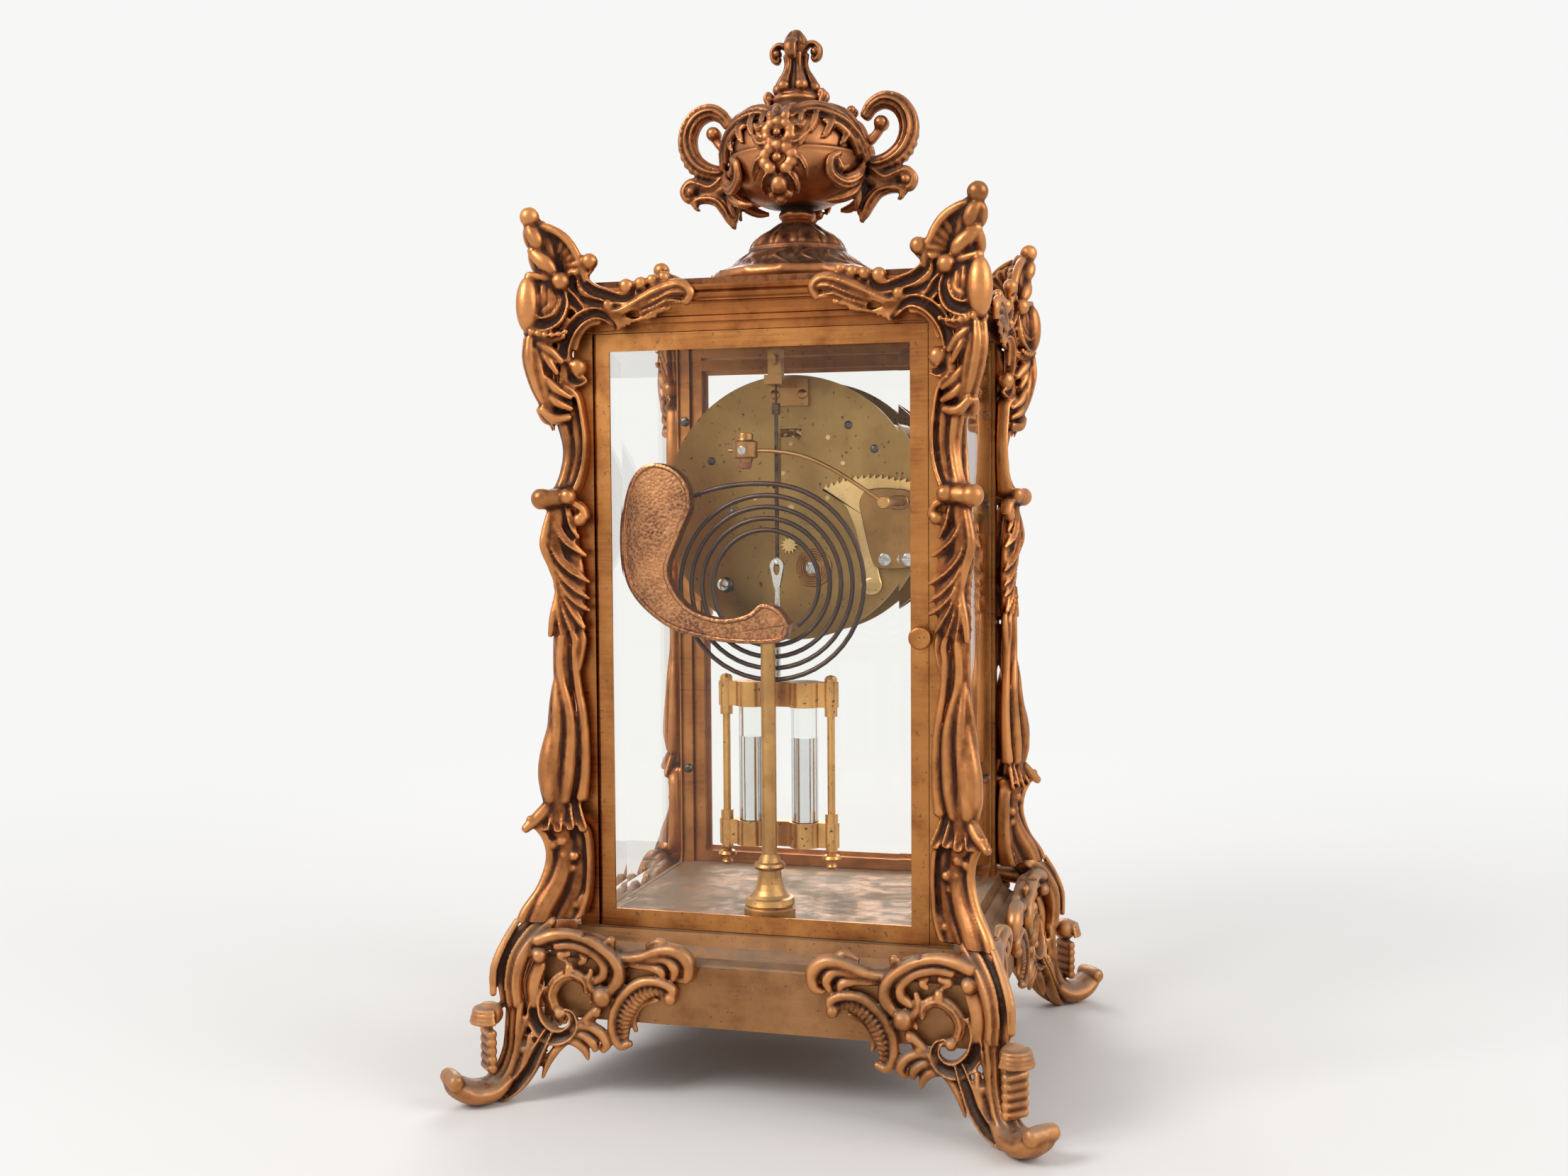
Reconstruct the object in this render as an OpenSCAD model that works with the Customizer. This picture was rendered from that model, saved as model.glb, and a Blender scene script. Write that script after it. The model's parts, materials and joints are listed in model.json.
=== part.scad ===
// Four-glass table clock: bevelled glass case with cast scroll corners and feet,
// twin-vial mercury pendulum, rack striking on a coiled gong, and an urn on top.
// Millimetres. Origin at the floor under the middle of the case, dial towards -Y.

/* [Case] */
// Width over the corner posts
case_w = 164; // [160:1:172]
// Depth over the corner posts
case_d = 140; // [138:1:150]
// Height of the doors
door_h = 257; // [254:1:264]
// Width of each square corner post
post = 8.6; // [8:0.1:9.4]
// Width of the door stiles and rails
stile = 7.45; // [6.5:0.05:8.5]
// Thickness of the doors
door_t = 6; // [5.5:0.1:6.4]
// Thickness of the bevelled panes
glass_t = 2.5; // [2:0.1:2.8]
// Width of the bevel round each pane
bevel_w = 7; // [4:0.5:9]
// Running gap round each door
door_gap = 0.3; // [0.25:0.05:0.6]

/* [Base and cornice] */
// Height of the base top above the floor
base_top = 72; // [70:1:76]
// Height of the whole base plinth
base_h = 38; // [34:1:42]
// How far the base stands out past the posts
base_out = 12.5; // [11:0.5:14]
// Drop of the sloping shoulder of the base
base_slope = 12; // [9:0.5:14]
// Wall of the pressed base
base_wall = 3; // [2:0.5:4]
// Height of the cornice moulding
cornice_h = 15; // [13:0.5:17]
// How far the cornice stands out past the posts
cornice_out = 5.5; // [4:0.5:6.5]
// Thickness of the top plate
top_t = 3; // [2:0.5:4]

/* [Movement] */
// Depth of the hand centre below the top of the doors
centre_down = 75; // [73:1:77]
// Radius of the round plates
plate_r = 60; // [59:0.5:62]
// Thickness of each plate
plate_t = 2; // [1.5:0.1:2.4]
// Depth of the back plate's outer face inside the back of the case
plate_in = 56; // [55:0.5:57]
// Distance between the plates
plate_gap = 44; // [43:0.5:46]
// Radius of the dial
dial_r = 54; // [50:0.5:55]
// Radius of each spring barrel
barrel_r = 20.5; // [18:0.5:20.5]
// Running clearance at the pivots
fit = 0.05; // [0.02:0.01:0.08]

/* [Pendulum and gong] */
// Depth of the pendulum's plane inside the back of the case
bob_in = 32; // [31.5:0.5:33]
// Outer radius of a mercury vial
vial_r = 6; // [5:0.25:6.25]
// Distance from the middle of the bob to each vial
vial_x = 12; // [11.5:0.25:13]
// Length of the vials between their frames
vial_len = 51; // [48:1:55]
// Height of the mercury in the vials
mercury_h = 38; // [20:1:42]
// Depth of the gong coil's plane inside the back of the case
gong_in = 22.4; // [21.4:0.25:22.9]
// Radius of the gong wire
wire_r = 1.2; // [0.9:0.1:1.5]
// Outer radius of the gong coil
gong_r = 44.5; // [42:0.5:46]
// Turns of the gong coil
gong_turns = 4.5; // [3.5:0.5:5]
// Distance from one turn of the gong to the next
gong_pitch = 5; // [4:0.1:5.4]

/* [Urn] */
// Radius of the urn bowl
bowl_r = 31; // [28:0.5:33]
// Radius of the urn socle where it meets the top plate
socle_r = 42; // [38:1:46]
// Radius of the curl of each urn handle
handle_r = 11; // [9:0.5:12]

/* [Hidden] */

$fn = 48;
// Thin overlap that joins pieces of one casting
weld = 0.2;
// Gap left where a casting is laid against the case
seat = 0.05;

base_bottom = base_top - base_h;
case_top = base_top + door_h + 4;
cornice_top = case_top + cornice_h;
urn_z = cornice_top + top_t;
centre_up = door_h - centre_down;
centre_z = base_top + centre_up;
plate_y = case_d / 2 - plate_in;
bob_y = case_d / 2 - bob_in;
gong_y = case_d / 2 - gong_in;

// Colours of the aged metals
gilt = [0.62, 0.42, 0.2];
bronze = [0.42, 0.26, 0.16];
brass = [0.66, 0.5, 0.26];
steel = [0.3, 0.28, 0.27];

// Shapes drawn standing in the X-Z plane, from y0 to y1
module upright(y0, y1) {
    translate([0, y1, 0]) rotate([90, 0, 0]) linear_extrude(y1 - y0) children();
}

// Round bar along Y at the point p of the X-Z plane
module bar_y(p, y0, y1, r) {
    translate([p[0], y1, p[1]]) rotate([90, 0, 0]) cylinder(h = y1 - y0, r = r);
}

module at_movement() {
    translate([0, 0, centre_z]) children();
}

module both_sides() {
    children();
    mirror([1, 0, 0]) children();
}

// Turned the half turn that makes the front of the case from its back
module for_front() {
    rotate([0, 0, 180]) children();
}

// Block that follows one outline along X and another along Y
module mitred_ring(half_x, half_y, outline, z) {
    intersection() {
        translate([0, half_y + 20, z]) rotate([90, 0, 0])
            linear_extrude(2 * half_y + 40) ledge(half_x, outline);
        translate([-half_x - 20, 0, z]) rotate([90, 0, 90])
            linear_extrude(2 * half_x + 40) ledge(half_y, outline);
    }
}

// Symmetric outline: half plus the offset of each [offset, height] step
module ledge(half, outline) {
    right = [for (p = outline) [half + p[0], p[1]]];
    left = [for (i = [len(outline) - 1:-1:0]) [-half - outline[i][0], outline[i][1]]];
    polygon(concat(right, left));
}

// Quarter curve between two [offset, height] points, hollow or full
function quarter(a, b, hollow, steps = 5) = [for (k = [0:steps])
    let (t = 90 * k / steps, s = hollow ? 1 - cos(t) : sin(t), c = hollow ? sin(t) : 1 - cos(t))
    [a[0] + (b[0] - a[0]) * s, a[1] + (b[1] - a[1]) * c]];

base_outline = concat([[base_out, 0], [base_out, base_h - base_slope]],
    quarter([base_out - 0.8, base_h - base_slope + 0.8], [1.2, base_h - 0.6], false, 3),
    [[1.2, base_h]]);
base_floor_t = 5;
base_foot_in = 4;

// Case

module base_solid(grow = 0) {
    mitred_ring(case_w / 2 + grow, case_d / 2 + grow, base_outline, base_bottom);
}

module base_plinth() color([0.36, 0.3, 0.22]) difference() {
    base_solid();
    translate([-case_w / 2 - base_out + base_wall, -case_d / 2 - base_out + base_wall,
        base_bottom - 1])
        cube([case_w + 2 * (base_out - base_wall), case_d + 2 * (base_out - base_wall),
            base_h - base_slope - base_wall + 1]);
    translate([-case_w / 2 + post, -case_d / 2 + post, base_bottom - 1])
        cube([case_w - 2 * post, case_d - 2 * post, base_h - base_floor_t + 1]);
    for_pins() translate([0, 0, base_top - pin_in]) cylinder(h = pin_in + 1, r = pin_r);
    translate([gong_post_x, gong_post_y, base_top - base_floor_t - 1])
        cylinder(h = base_floor_t + 2, r = gong_stud_r + fit);
}

post_x = case_w / 2 - post;
post_y = case_d / 2 - post;
pane_in = 1.2;
pane_lap = 2.2;
latch_slot = 4.1;
latch_z = base_top + door_h / 2;

module corner_posts() color(brass) difference() {
    for (sx = [-1, 1], sy = [-1, 1])
        translate([sx > 0 ? post_x : -post_x - post, sy > 0 ? post_y : -post_y - post, base_top])
            cube([post, post, case_top - base_top]);
    both_sides() translate([case_w / 2 - pane_in - glass_t - fit, -post_y - pane_lap - fit,
        base_top - 1])
        cube([glass_t + 2 * fit, 2 * (post_y + pane_lap + fit), case_top - base_top + 2]);
    latch_cut();
    for_front() latch_cut();
}

// Recess behind which a latch tongue turns
module latch_cut() {
    translate([-post_x - latch_slot, case_d / 2 - door_t - latch_t - 0.6, latch_z - 9])
        cube([latch_slot + 1, latch_t + 0.8, 18]);
}

cornice_outline = concat([[0.6, 0], [1.6, 0.01], [1.6, 2.2], [0.9, 2.6]],
    quarter([1.2, 2.8], [cornice_out - 1.4, 8.4], true),
    [[cornice_out - 1.4, 9]],
    quarter([cornice_out - 1, 9.4], [cornice_out, 11.4], false),
    [[cornice_out - 0.8, 12.2], [cornice_out, 12.8]]);
cornice_wall = 12;

module cornice_solid(grow = 0) {
    mitred_ring(case_w / 2 + grow, case_d / 2 + grow,
        concat(cornice_outline, [[cornice_out, cornice_h]]), case_top);
}

module cornice() color(gilt) difference() {
    union() {
        cornice_solid();
        for (sy = [-1, 1]) translate([-post_x, sy > 0 ? case_d / 2 - door_t : -case_d / 2,
            case_top - header_h])
            cube([2 * post_x, door_t, header_h + 1]);
    }
    translate([-case_w / 2 + cornice_wall, -case_d / 2 + cornice_wall, case_top - 1])
        cube([case_w - 2 * cornice_wall, case_d - 2 * cornice_wall, cornice_h + 2]);
    for_pins() translate([0, 0, case_top - header_h - 1]) cylinder(h = pin_in + 1, r = pin_r);
}

header_h = case_top - base_top - door_h - door_gap;
top_in = 3;

module top_plate() color(bronze) difference() {
    translate([-case_w / 2 - cornice_out + top_in, -case_d / 2 - cornice_out + top_in,
        cornice_top])
        cube([case_w + 2 * (cornice_out - top_in), case_d + 2 * (cornice_out - top_in), top_t]);
    translate([0, 0, cornice_top - 1]) cylinder(h = top_t + 2, r = urn_bolt_r + fit);
}

// Pane standing in the X-Z plane, bevelled on its +Y face all round
module pane(w, h) {
    bevel_d = glass_t * 0.5;
    intersection() {
        rotate([90, 0, 90]) translate([0, 0, -w / 2]) linear_extrude(w)
            polygon([[0, 0], [glass_t - bevel_d, 0], [glass_t, bevel_w],
                [glass_t, h - bevel_w], [glass_t - bevel_d, h], [0, h]]);
        linear_extrude(h) polygon([[-w / 2, 0], [w / 2, 0], [w / 2, glass_t - bevel_d],
            [w / 2 - bevel_w, glass_t], [-w / 2 + bevel_w, glass_t],
            [-w / 2, glass_t - bevel_d]]);
    }
}

module side_glasses() color([0.8, 0.85, 0.8, 0.35]) both_sides()
    translate([case_w / 2 - pane_in - glass_t, 0, base_top]) rotate([0, 0, -90])
        pane(2 * (post_y + pane_lap), case_top - base_top);

// Doors

door_w = 2 * (post_x - door_gap);
door_z = base_top + door_gap;
door_height = door_h - door_gap;
door_lip = 1;
glass_lap = 2;
pin_r = 0.9;
pin_in = 5;
// Distance of the hinge pin from the door's edge and outer face
pin_edge = 1.6;
pin_x = door_w / 2 - pin_edge;
pin_y = case_d / 2 - pin_edge;

module for_pins() {
    for (s = [-1, 1]) translate([s * pin_x, s * pin_y, 0]) children();
}

module door_hinge_pins() color(steel) for_pins() {
    translate([0, 0, base_top - pin_in]) cylinder(h = 2 * pin_in, r = pin_r);
    translate([0, 0, case_top - header_h - pin_in]) cylinder(h = 2 * pin_in, r = pin_r);
}

// Back door: hinged on the +X side, its outer face towards +Y
module door_frame() difference() {
    union() {
        translate([-door_w / 2, case_d / 2 - door_t, door_z])
            cube([door_w - pin_edge, door_t, door_height]);
        translate([pin_x - 1, case_d / 2 - door_t, door_z])
            cube([1 + pin_edge, door_t - pin_edge, door_height]);
        translate([pin_x, pin_y, door_z]) cylinder(h = door_height, r = pin_edge);
    }
    translate([-door_w / 2 + stile, case_d / 2 - door_t - 1, door_z + stile])
        cube([door_w - 2 * stile, door_t + 2, door_height - 2 * stile]);
    translate([-door_w / 2 + stile - glass_lap - fit, case_d / 2 - door_t - 1,
        door_z + stile - glass_lap - fit])
        cube([door_w - 2 * (stile - glass_lap - fit), door_t + 1 - door_lip + 0.01,
            door_height - 2 * (stile - glass_lap - fit)]);
    for (z = [door_z - 1, door_z + door_height - pin_in - 0.5])
        translate([pin_x, pin_y, z]) cylinder(h = pin_in + 1.5, r = pin_r + fit);
    bar_y([knob_x, latch_z], case_d / 2 - door_t - 1, case_d / 2 + 1, latch_r + fit);
}

module door_pane() {
    translate([0, case_d / 2 - door_lip - glass_t, door_z + stile - glass_lap])
        pane(door_w - 2 * (stile - glass_lap), door_height - 2 * (stile - glass_lap));
}

latch_r = 1.6;
latch_t = 1.6;
knob_x = -door_w / 2 + 2.6;
knob_r = 4.7;
knob_out = 7;

// Turned knob, its spindle through the stile and the tongue behind it
module door_latch() {
    translate([knob_x, case_d / 2, latch_z]) rotate([-90, 0, 0]) rotate_extrude()
        polygon(concat([[0, -door_t - latch_t - 0.3], [latch_r, -door_t - latch_t - 0.3],
            [latch_r, 0.1], [2.6, 0.1], [2.6, 1.6], [3.4, 2.2], [knob_r, 2.8],
            [knob_r, knob_out - 1]],
            [for (k = [1:4]) [knob_r - 1.2 + 1.2 * cos(90 * k / 4),
                knob_out - 1 + sin(90 * k / 4)]],
            [[0.6, knob_out], [0, knob_out - 0.5]]));
    translate([knob_x - 1.8, case_d / 2 - door_t - 0.3 - latch_t, latch_z - 2.6])
        cube([3.6, latch_t, 9]);
}

module back_door_frame() color(brass) door_frame();
module back_door_glass() color([0.8, 0.85, 0.8, 0.35]) door_pane();
module back_door_latch() color(gilt) door_latch();
module front_door_frame() color(brass) for_front() door_frame();
module front_door_glass() color([0.8, 0.85, 0.8, 0.35]) for_front() door_pane();
module front_door_latch() color(gilt) for_front() door_latch();

// Screws that hold the castings and the dial carrier to the posts, on the
// strip between the post's inner edge and the side pane
pane_inner = case_w / 2 - pane_in - glass_t;
screw_r = (pane_inner - post_x) / 2 - 0.15;
module case_screws() color(steel) {
    for (sx = [-1, 1]) {
        for (sy = [-1, 1], z = [48.5, 226]) mirror([0, sy > 0 ? 1 : 0, 0])
            dome_screw([sx * (post_x + pane_inner) / 2, base_top + stretch(z)], -post_y,
                screw_r, 1.5);
        dome_screw([sx * (post_x + pane_inner) / 2, centre_z], -post_y + carrier_t,
            screw_r, 1.2);
    }
}

// Low slotted head standing on the plane y
module dome_screw(p, y, r, h) difference() {
    translate([p[0], y, p[1]]) rotate([-90, 0, 0]) rotate_extrude()
        polygon([[0, 0], [r, 0], [r, h * 0.45], [r * 0.8, h * 0.8], [r * 0.4, h], [0, h]]);
    translate([p[0] - r - 1, y + h * 0.6, p[1] - 0.3]) cube([2 * r + 2, h, 0.6]);
}

// Cast ornament
//
// A casting is drawn at one corner: u runs along a face from the corner
// towards its middle, h stands out of the face and z rises from the base top.
// The second face is its mirror image about the corner's diagonal.

function unit(v) = v / norm(v);
function spot(u, h, z) = [-u, h, stretch(z)];
// The middle of a column follows the height of the doors; 257 is the height drawn
drawn_h = 257;
drawn_low = 60;
drawn_high = 226;
function stretch(z) = z + (door_h - drawn_h)
    * min(1, max(0, (z - drawn_low) / (drawn_high - drawn_low)));

// Smooth curve through hand-set points [u, h, z, half width]
function before(p, i) = i > 0 ? p[i - 1] : 2 * p[0] - p[1];
function after(p, i) = i < len(p) - 1 ? p[i + 1] : 2 * p[len(p) - 1] - p[len(p) - 2];
function curve_at(a, b, c, d, t) = 0.5 * (2 * b + (c - a) * t
    + (2 * a - 5 * b + 4 * c - d) * t * t + (3 * b - a - 3 * c + d) * t * t * t);
function curve(p, steps) = concat([for (i = [0:len(p) - 2], k = [0:steps - 1])
    curve_at(before(p, i), p[i], p[i + 1], after(p, i + 1), k / steps)], [p[len(p) - 1]]);

// Ring of points round c, across the direction t; n is the broad face's normal
function ring(c, t, n, a, b, sides) = let (s = unit(cross(t, n)), m = cross(s, t))
    [for (k = [0:sides - 1]) c + a * cos(360 * k / sides) * s + b * sin(360 * k / sides) * m];

// Tube with rings of points, closed at both ends
module skin_tube(rings) {
    n = len(rings[0]);
    last = len(rings) - 1;
    polyhedron(points = [for (r = rings) each r],
        faces = concat([[for (k = [n - 1:-1:0]) k]],
            [for (i = [0:last - 1], k = [0:n - 1]) [i * n + k, i * n + (k + 1) % n,
                (i + 1) * n + (k + 1) % n]],
            [for (i = [0:last - 1], k = [0:n - 1]) [i * n + k,
                (i + 1) * n + (k + 1) % n, (i + 1) * n + k]],
            [[for (k = [0:n - 1]) last * n + k]]));
}

// Ridged scroll strand through [u, h, z, half width] points
module strand(points, flat = 0.9, face = [0, 1, 0], steps = 1) {
    path = curve(points, steps);
    last = len(path) - 1;
    centres = [for (p = path) spot(p[0], p[1], p[2])];
    skin_tube([for (i = [0:last])
        ring(centres[i], unit(centres[min(i + 1, last)] - centres[max(i - 1, 0)]), face,
            path[i][3], path[i][3] * flat, 4)]);
}

// Normal of a strand that lies in the plane of the corner's diagonal
across = [0.7071, -0.7071, 0];

module ball(u, h, z, r) {
    translate(spot(u, h, z)) sphere(r = r, $fn = 5);
}

// Leaf tip or pod between two points, of two end radii
module lobe(a, b, ra, rb) {
    hull() {
        translate(spot(a[0], a[1], a[2])) sphere(r = ra, $fn = 4);
        translate(spot(b[0], b[1], b[2])) sphere(r = rb, $fn = 4);
    }
}

module corner_pair() {
    children();
    mirror([1, -1, 0]) children();
}

// Places a corner drawing at the corner on the sx, sy side of the case
module at_corner(sx, sy) {
    translate([sx * case_w / 2, sy * case_d / 2, base_top])
        mirror([sx < 0 ? 1 : 0, 0, 0]) mirror([0, sy < 0 ? 1 : 0, 0]) children();
}

// Space that the case, its doors and their swing take up at a corner
module case_space() {
    translate([-case_w / 2, -case_d / 2, -base_top]) {
        base_solid(seat);
        for (b = [[seat, base_top, case_top], [cornice_out + seat, case_top, cornice_top],
            [cornice_out - top_in + seat, cornice_top - 1, cornice_top + top_t]])
            translate([-case_w / 2 - b[0], -case_d / 2 - b[0], b[1]])
                cube([case_w + 2 * b[0], case_d + 2 * b[0], b[2] - b[1]]);
        translate([-case_w / 2, case_d / 2 - 1, base_top])
            cube([case_w - post + 0.1, 40, door_h + 1]);
        translate([case_w / 2 - 1, -case_d / 2, base_top])
            cube([40, case_d - post + 0.1, door_h + 1]);
    }
}

module crest_face() {
    // Shell, its rim and the ball at its tip
    strand([[-9, 8, 304, 2.6], [1, 8.5, 300, 3], [4, 7.5, 290, 3], [0, 7, 278, 2.6]]);
    lobe([-9, 9.5, 286], [1, 8.5, 294], 4, 4);
    ball(-7.5, 13, 296.5, 4.2);
    // Scroll with two balled ends
    strand([[9.6, 7, 287, 3], [5, 7, 282, 2.6], [10, 7, 275, 2.8], [21, 7, 277, 3.4]]);
    // Leaf arm with its curled end and bead
    strand([[9, 6.5, 272, 2.6], [26, 6.8, 266, 3.2], [44, 8, 267, 3.6],
        [52.4, 8, 274.6, 2.8], [46, 7.5, 279.6, 1.6]]);
    lobe([26, 7, 267], [38, 8, 278], 3.4, 4.4);
    lobe([15, 4, 263], [25, 4, 262], 2.6, 2);
    // Large channelled C
    strand([[3.4, 4.5, 241, 3.4], [-5, 6.8, 239.5, 3.4], [-7.4, 7.4, 256, 3.8],
        [5, 6.5, 267, 3.2], [15, 5, 261, 2]], flat = 1.2);
    // Curling leaf beside the pod
    strand([[-12, 12, 287, 2], [-7, 12, 278, 3], [-11, 12, 266, 3]]);
}

module crest_corner() {
    ball(-10.5, 10.5, 306, 4.6);
    lobe([-9, 9, 304], [-9, 9, 289], 5, 7);
    lobe([-11, 11, 284], [-13, 13, 272], 5, 7);
    lobe([-13, 13, 272], [-10, 10, 252], 7, 4.6);
    lobe([-2, 2, 284], [-6, 6, 260], 7, 7);
}

module column_face() {
    // Bowed frame
    strand([[-2, 5, 231, 2.2], [5, 4.5, 232, 2.3], [6.8, 3.5, 215, 2], [2, 4, 192, 2.6]],
        flat = 1.3);
    ball(-3.6, 8.6, 188, 4);
    // Hook scroll below the balls
    strand([[-3, 6, 188, 2.8], [5, 4.5, 187, 2.6], [6, 4, 179.5, 2.4], [0, 4.6, 175, 2.4]],
        flat = 1.1);
    // Acanthus leaf
    strand([[-3, 6, 178, 3.4], [3.6, 4.6, 159, 5], [2.4, 4.4, 142, 4],
        [-3, 5, 128, 2]], flat = 1);
    // Long pod and its neck
    strand([[1, 4, 134, 3], [1, 4, 108, 2.8], [-0.6, 5.5, 84, 5], [0.6, 6, 70, 5.6],
        [1, 5, 60, 3]], flat = 1);
    // Leaf collar
    lobe([-2, 6, 61], [0, 8.6, 53], 4, 5);
    // Great C below the collar
    strand([[-2, 7, 49, 3], [5, 5, 46, 2.6], [6.4, 4, 31, 2.6], [3, 6, 18, 2.8],
        [-6, 11, 14, 3.8]], flat = 1.3);
}

module column_corner() {
    strand([[-9, 9, 256, 4.4], [-4, 4, 238, 4.2], [-3.4, 3.4, 226, 4.6], [-0.5, 0.5, 208, 3],
        [-4, 4, 190, 4.4]], face = across, flat = 1.2);
    strand([[-4, 4, 190, 4], [-7, 7, 176, 5], [-3.4, 3.4, 158, 5], [-1, 1, 146, 4.6],
        [-4.6, 4.6, 134, 4]], face = across, flat = 1.3);
    strand([[-3, 3, 136, 3.4], [0, 0, 108, 4.2], [-5, 5, 86, 5.6], [-7.6, 7.6, 73, 6.6],
        [-3, 3, 60, 4.4]], face = across, flat = 1.1);
    lobe([-5, 5, 62], [-12, 12, 52], 5, 5);
    strand([[-9, 9, 54, 4.4], [-5.6, 5.6, 42, 4.4], [-12, 12, 24, 4.6], [-14, 14, 13, 4.4],
        [-10, 10, 2, 4.4]], face = across, flat = 1.2);
}

// Height above the base top where a foot takes over from a column
foot_joint = 6;

module corner_casting(sx, sy) color(bronze) at_corner(sx, sy) difference() {
    union() {
        corner_pair() {
            crest_face();
            column_face();
        }
        crest_corner();
        column_corner();
    }
    case_space();
    translate([-20, -20, foot_joint - 20]) cube([60, 60, 20]);
}

foot_h = 17;

module foot_face() {
    // Great open C of the knee, ending in the curl inside it
    strand([[16, foot_h, -24, 2.4], [23, foot_h, -13, 3], [13, foot_h, -1.5, 3.2],
        [-3, foot_h, -1.5, 3.6], [-16, foot_h + 3, -10, 4], [-19, foot_h + 5, -25, 4],
        [-11, foot_h + 3, -37, 3.8], [0, foot_h + 1, -37, 3]], flat = 1.3);
    strand([[-16, foot_h + 4, -24, 2.6], [-7, foot_h, -12, 2.4], [2, foot_h, -16, 2]]);
    ball(14.4, foot_h + 1, -24.5, 4.4);
    // Leaf arm along the base
    strand([[12, foot_h - 0.5, -4, 2.6], [30, foot_h - 2, -8.5, 3], [43, foot_h - 2, -8, 3.6],
        [53, foot_h - 2, -5.5, 3.6], [54, foot_h - 2, -13, 2.4]]);
    // Fluted shell with its rolled rim
    strand([[44, foot_h - 2, -25, 2.6], [42, foot_h - 2, -15, 2.8], [29, foot_h - 2, -18, 3.2],
        [18, foot_h - 1, -27, 3.2], [20, foot_h - 2, -39, 2.6]]);
    lobe([35, foot_h - 3, -17], [29, foot_h - 3, -31], 4, 2.4);
    // Leaves under the knee and the leg
    lobe([0, foot_h, -36], [12, foot_h - 1, -44], 4, 2.4);
    strand([[-3, foot_h, -40, 3], [-11, foot_h + 6, -50, 3.6], [-22, foot_h + 13, -61, 4],
        [-31, foot_h + 20, -67, 3.6]]);
}

module foot_corner() {
    strand([[-10, 10, 12, 4.2], [-20, 20, -2, 4.2], [-26, 26, -15, 4.4], [-28, 28, -29, 4.4]],
        face = across, flat = 1.2);
    lobe([-30, 30, -28], [-31, 31, -35], 6.6, 5.6);
    for (k = [0:3]) ball(-30.6, 30.6, -40 - 4.6 * k, 3.2 - 0.1 * k);
    strand([[-24, 24, -31, 5.4], [-24, 24, -48, 5.6], [-31, 31, -60, 6.4],
        [-42, 42, -63, 5.6]], face = across, flat = 1.2);
    // Toe roll across the diagonal, cut flat where it stands
    for (t = [[41, 5, -64, 6], [31, 4.4, -69, 6]]) hull() for (s = [-1, 1])
        translate([t[0] + t[1] * s, t[0] - t[1] * s, t[2]]) sphere(r = t[3], $fn = 6);
}

module corner_foot(sx, sy) color(gilt) at_corner(sx, sy) difference() {
    union() {
        corner_pair() foot_face();
        foot_corner();
    }
    case_space();
    translate([-20, -20, foot_joint - seat]) cube([60, 60, 40]);
    translate([-60, -60, -base_top - 30]) cube([140, 140, 30]);
}

module casting_back_left() corner_casting(1, 1);
module casting_back_right() corner_casting(-1, 1);
module casting_front_left() corner_casting(-1, -1);
module casting_front_right() corner_casting(1, -1);
module foot_back_left() corner_foot(1, 1);
module foot_back_right() corner_foot(-1, 1);
module foot_front_left() corner_foot(-1, -1);
module foot_front_right() corner_foot(1, -1);

// Urn

urn_bolt_r = 2.5;
stem_z = 31;
bowl_z = 39;
bowl_top = 80;
neck_r = 14;
bowl_mid = bowl_z + 23;
bowl_low = 23;
bowl_high = 16;
girdle_t = 1.6;
// Room left where the ornament is laid round the bowl
urn_seat = 0.4;

// Rounded side of the bowl from angle a to b, grown by g
function bowl_side(a, b, g, steps) = [for (k = [0:steps]) let (t = a + (b - a) * k / steps)
    [(bowl_r + g) * cos(t), bowl_mid + ((t < 0 ? bowl_low : bowl_high) + g) * sin(t)]];

module urn_socle() color(bronze) translate([0, 0, urn_z]) rotate_extrude() difference() {
    polygon(concat([[0, 0], [socle_r, 0], [socle_r, 1.6]],
        quarter([socle_r - 1.5, 2.4], [socle_r * 0.72, 9.5], true),
        [[socle_r * 0.72, 11], [socle_r * 0.66, 11.6]],
        [for (k = [0:6]) [11 + (socle_r * 0.6 - 11) * cos(90 * k / 6),
            13 + 11 * sin(90 * k / 6)]],
        [[8.5, 25.5], [6.8, stem_z - 3], [6.8, stem_z], [0, stem_z]]));
    translate([-1, -1]) square([1 + urn_bolt_r + fit, stem_z + 2]);
}

// Bowl with its stem, up to the narrow neck of the lid
module urn_body() color(bronze) translate([0, 0, urn_z]) rotate_extrude() difference() {
    polygon(concat([[0, stem_z], [8.6, stem_z], [9.4, stem_z + 2], [8.6, stem_z + 4],
        [8.6, bowl_z + 2]], bowl_side(-64, -22, 0, 5), bowl_side(-22, 40, -girdle_t, 6),
        bowl_side(40, 66, 0, 3),
        [[neck_r - 1, bowl_top - 2], [neck_r - 2.5, bowl_top], [0, bowl_top]]));
    translate([-1, stem_z - 1]) square([1 + urn_bolt_r + fit, bowl_top - stem_z + 2]);
}

urn_bolt_top = urn_z + bowl_top + 5;

// Tie bolt that holds the urn down, with its nut under the top plate
module urn_bolt() color(steel) {
    translate([0, 0, cornice_top - 6]) cylinder(h = urn_bolt_top - cornice_top + 6,
        r = urn_bolt_r);
    translate([0, 0, cornice_top - 5]) cylinder(h = 4.8, r = 6, $fn = 6);
}

handle_x = bowl_r + 11.5;

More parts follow.
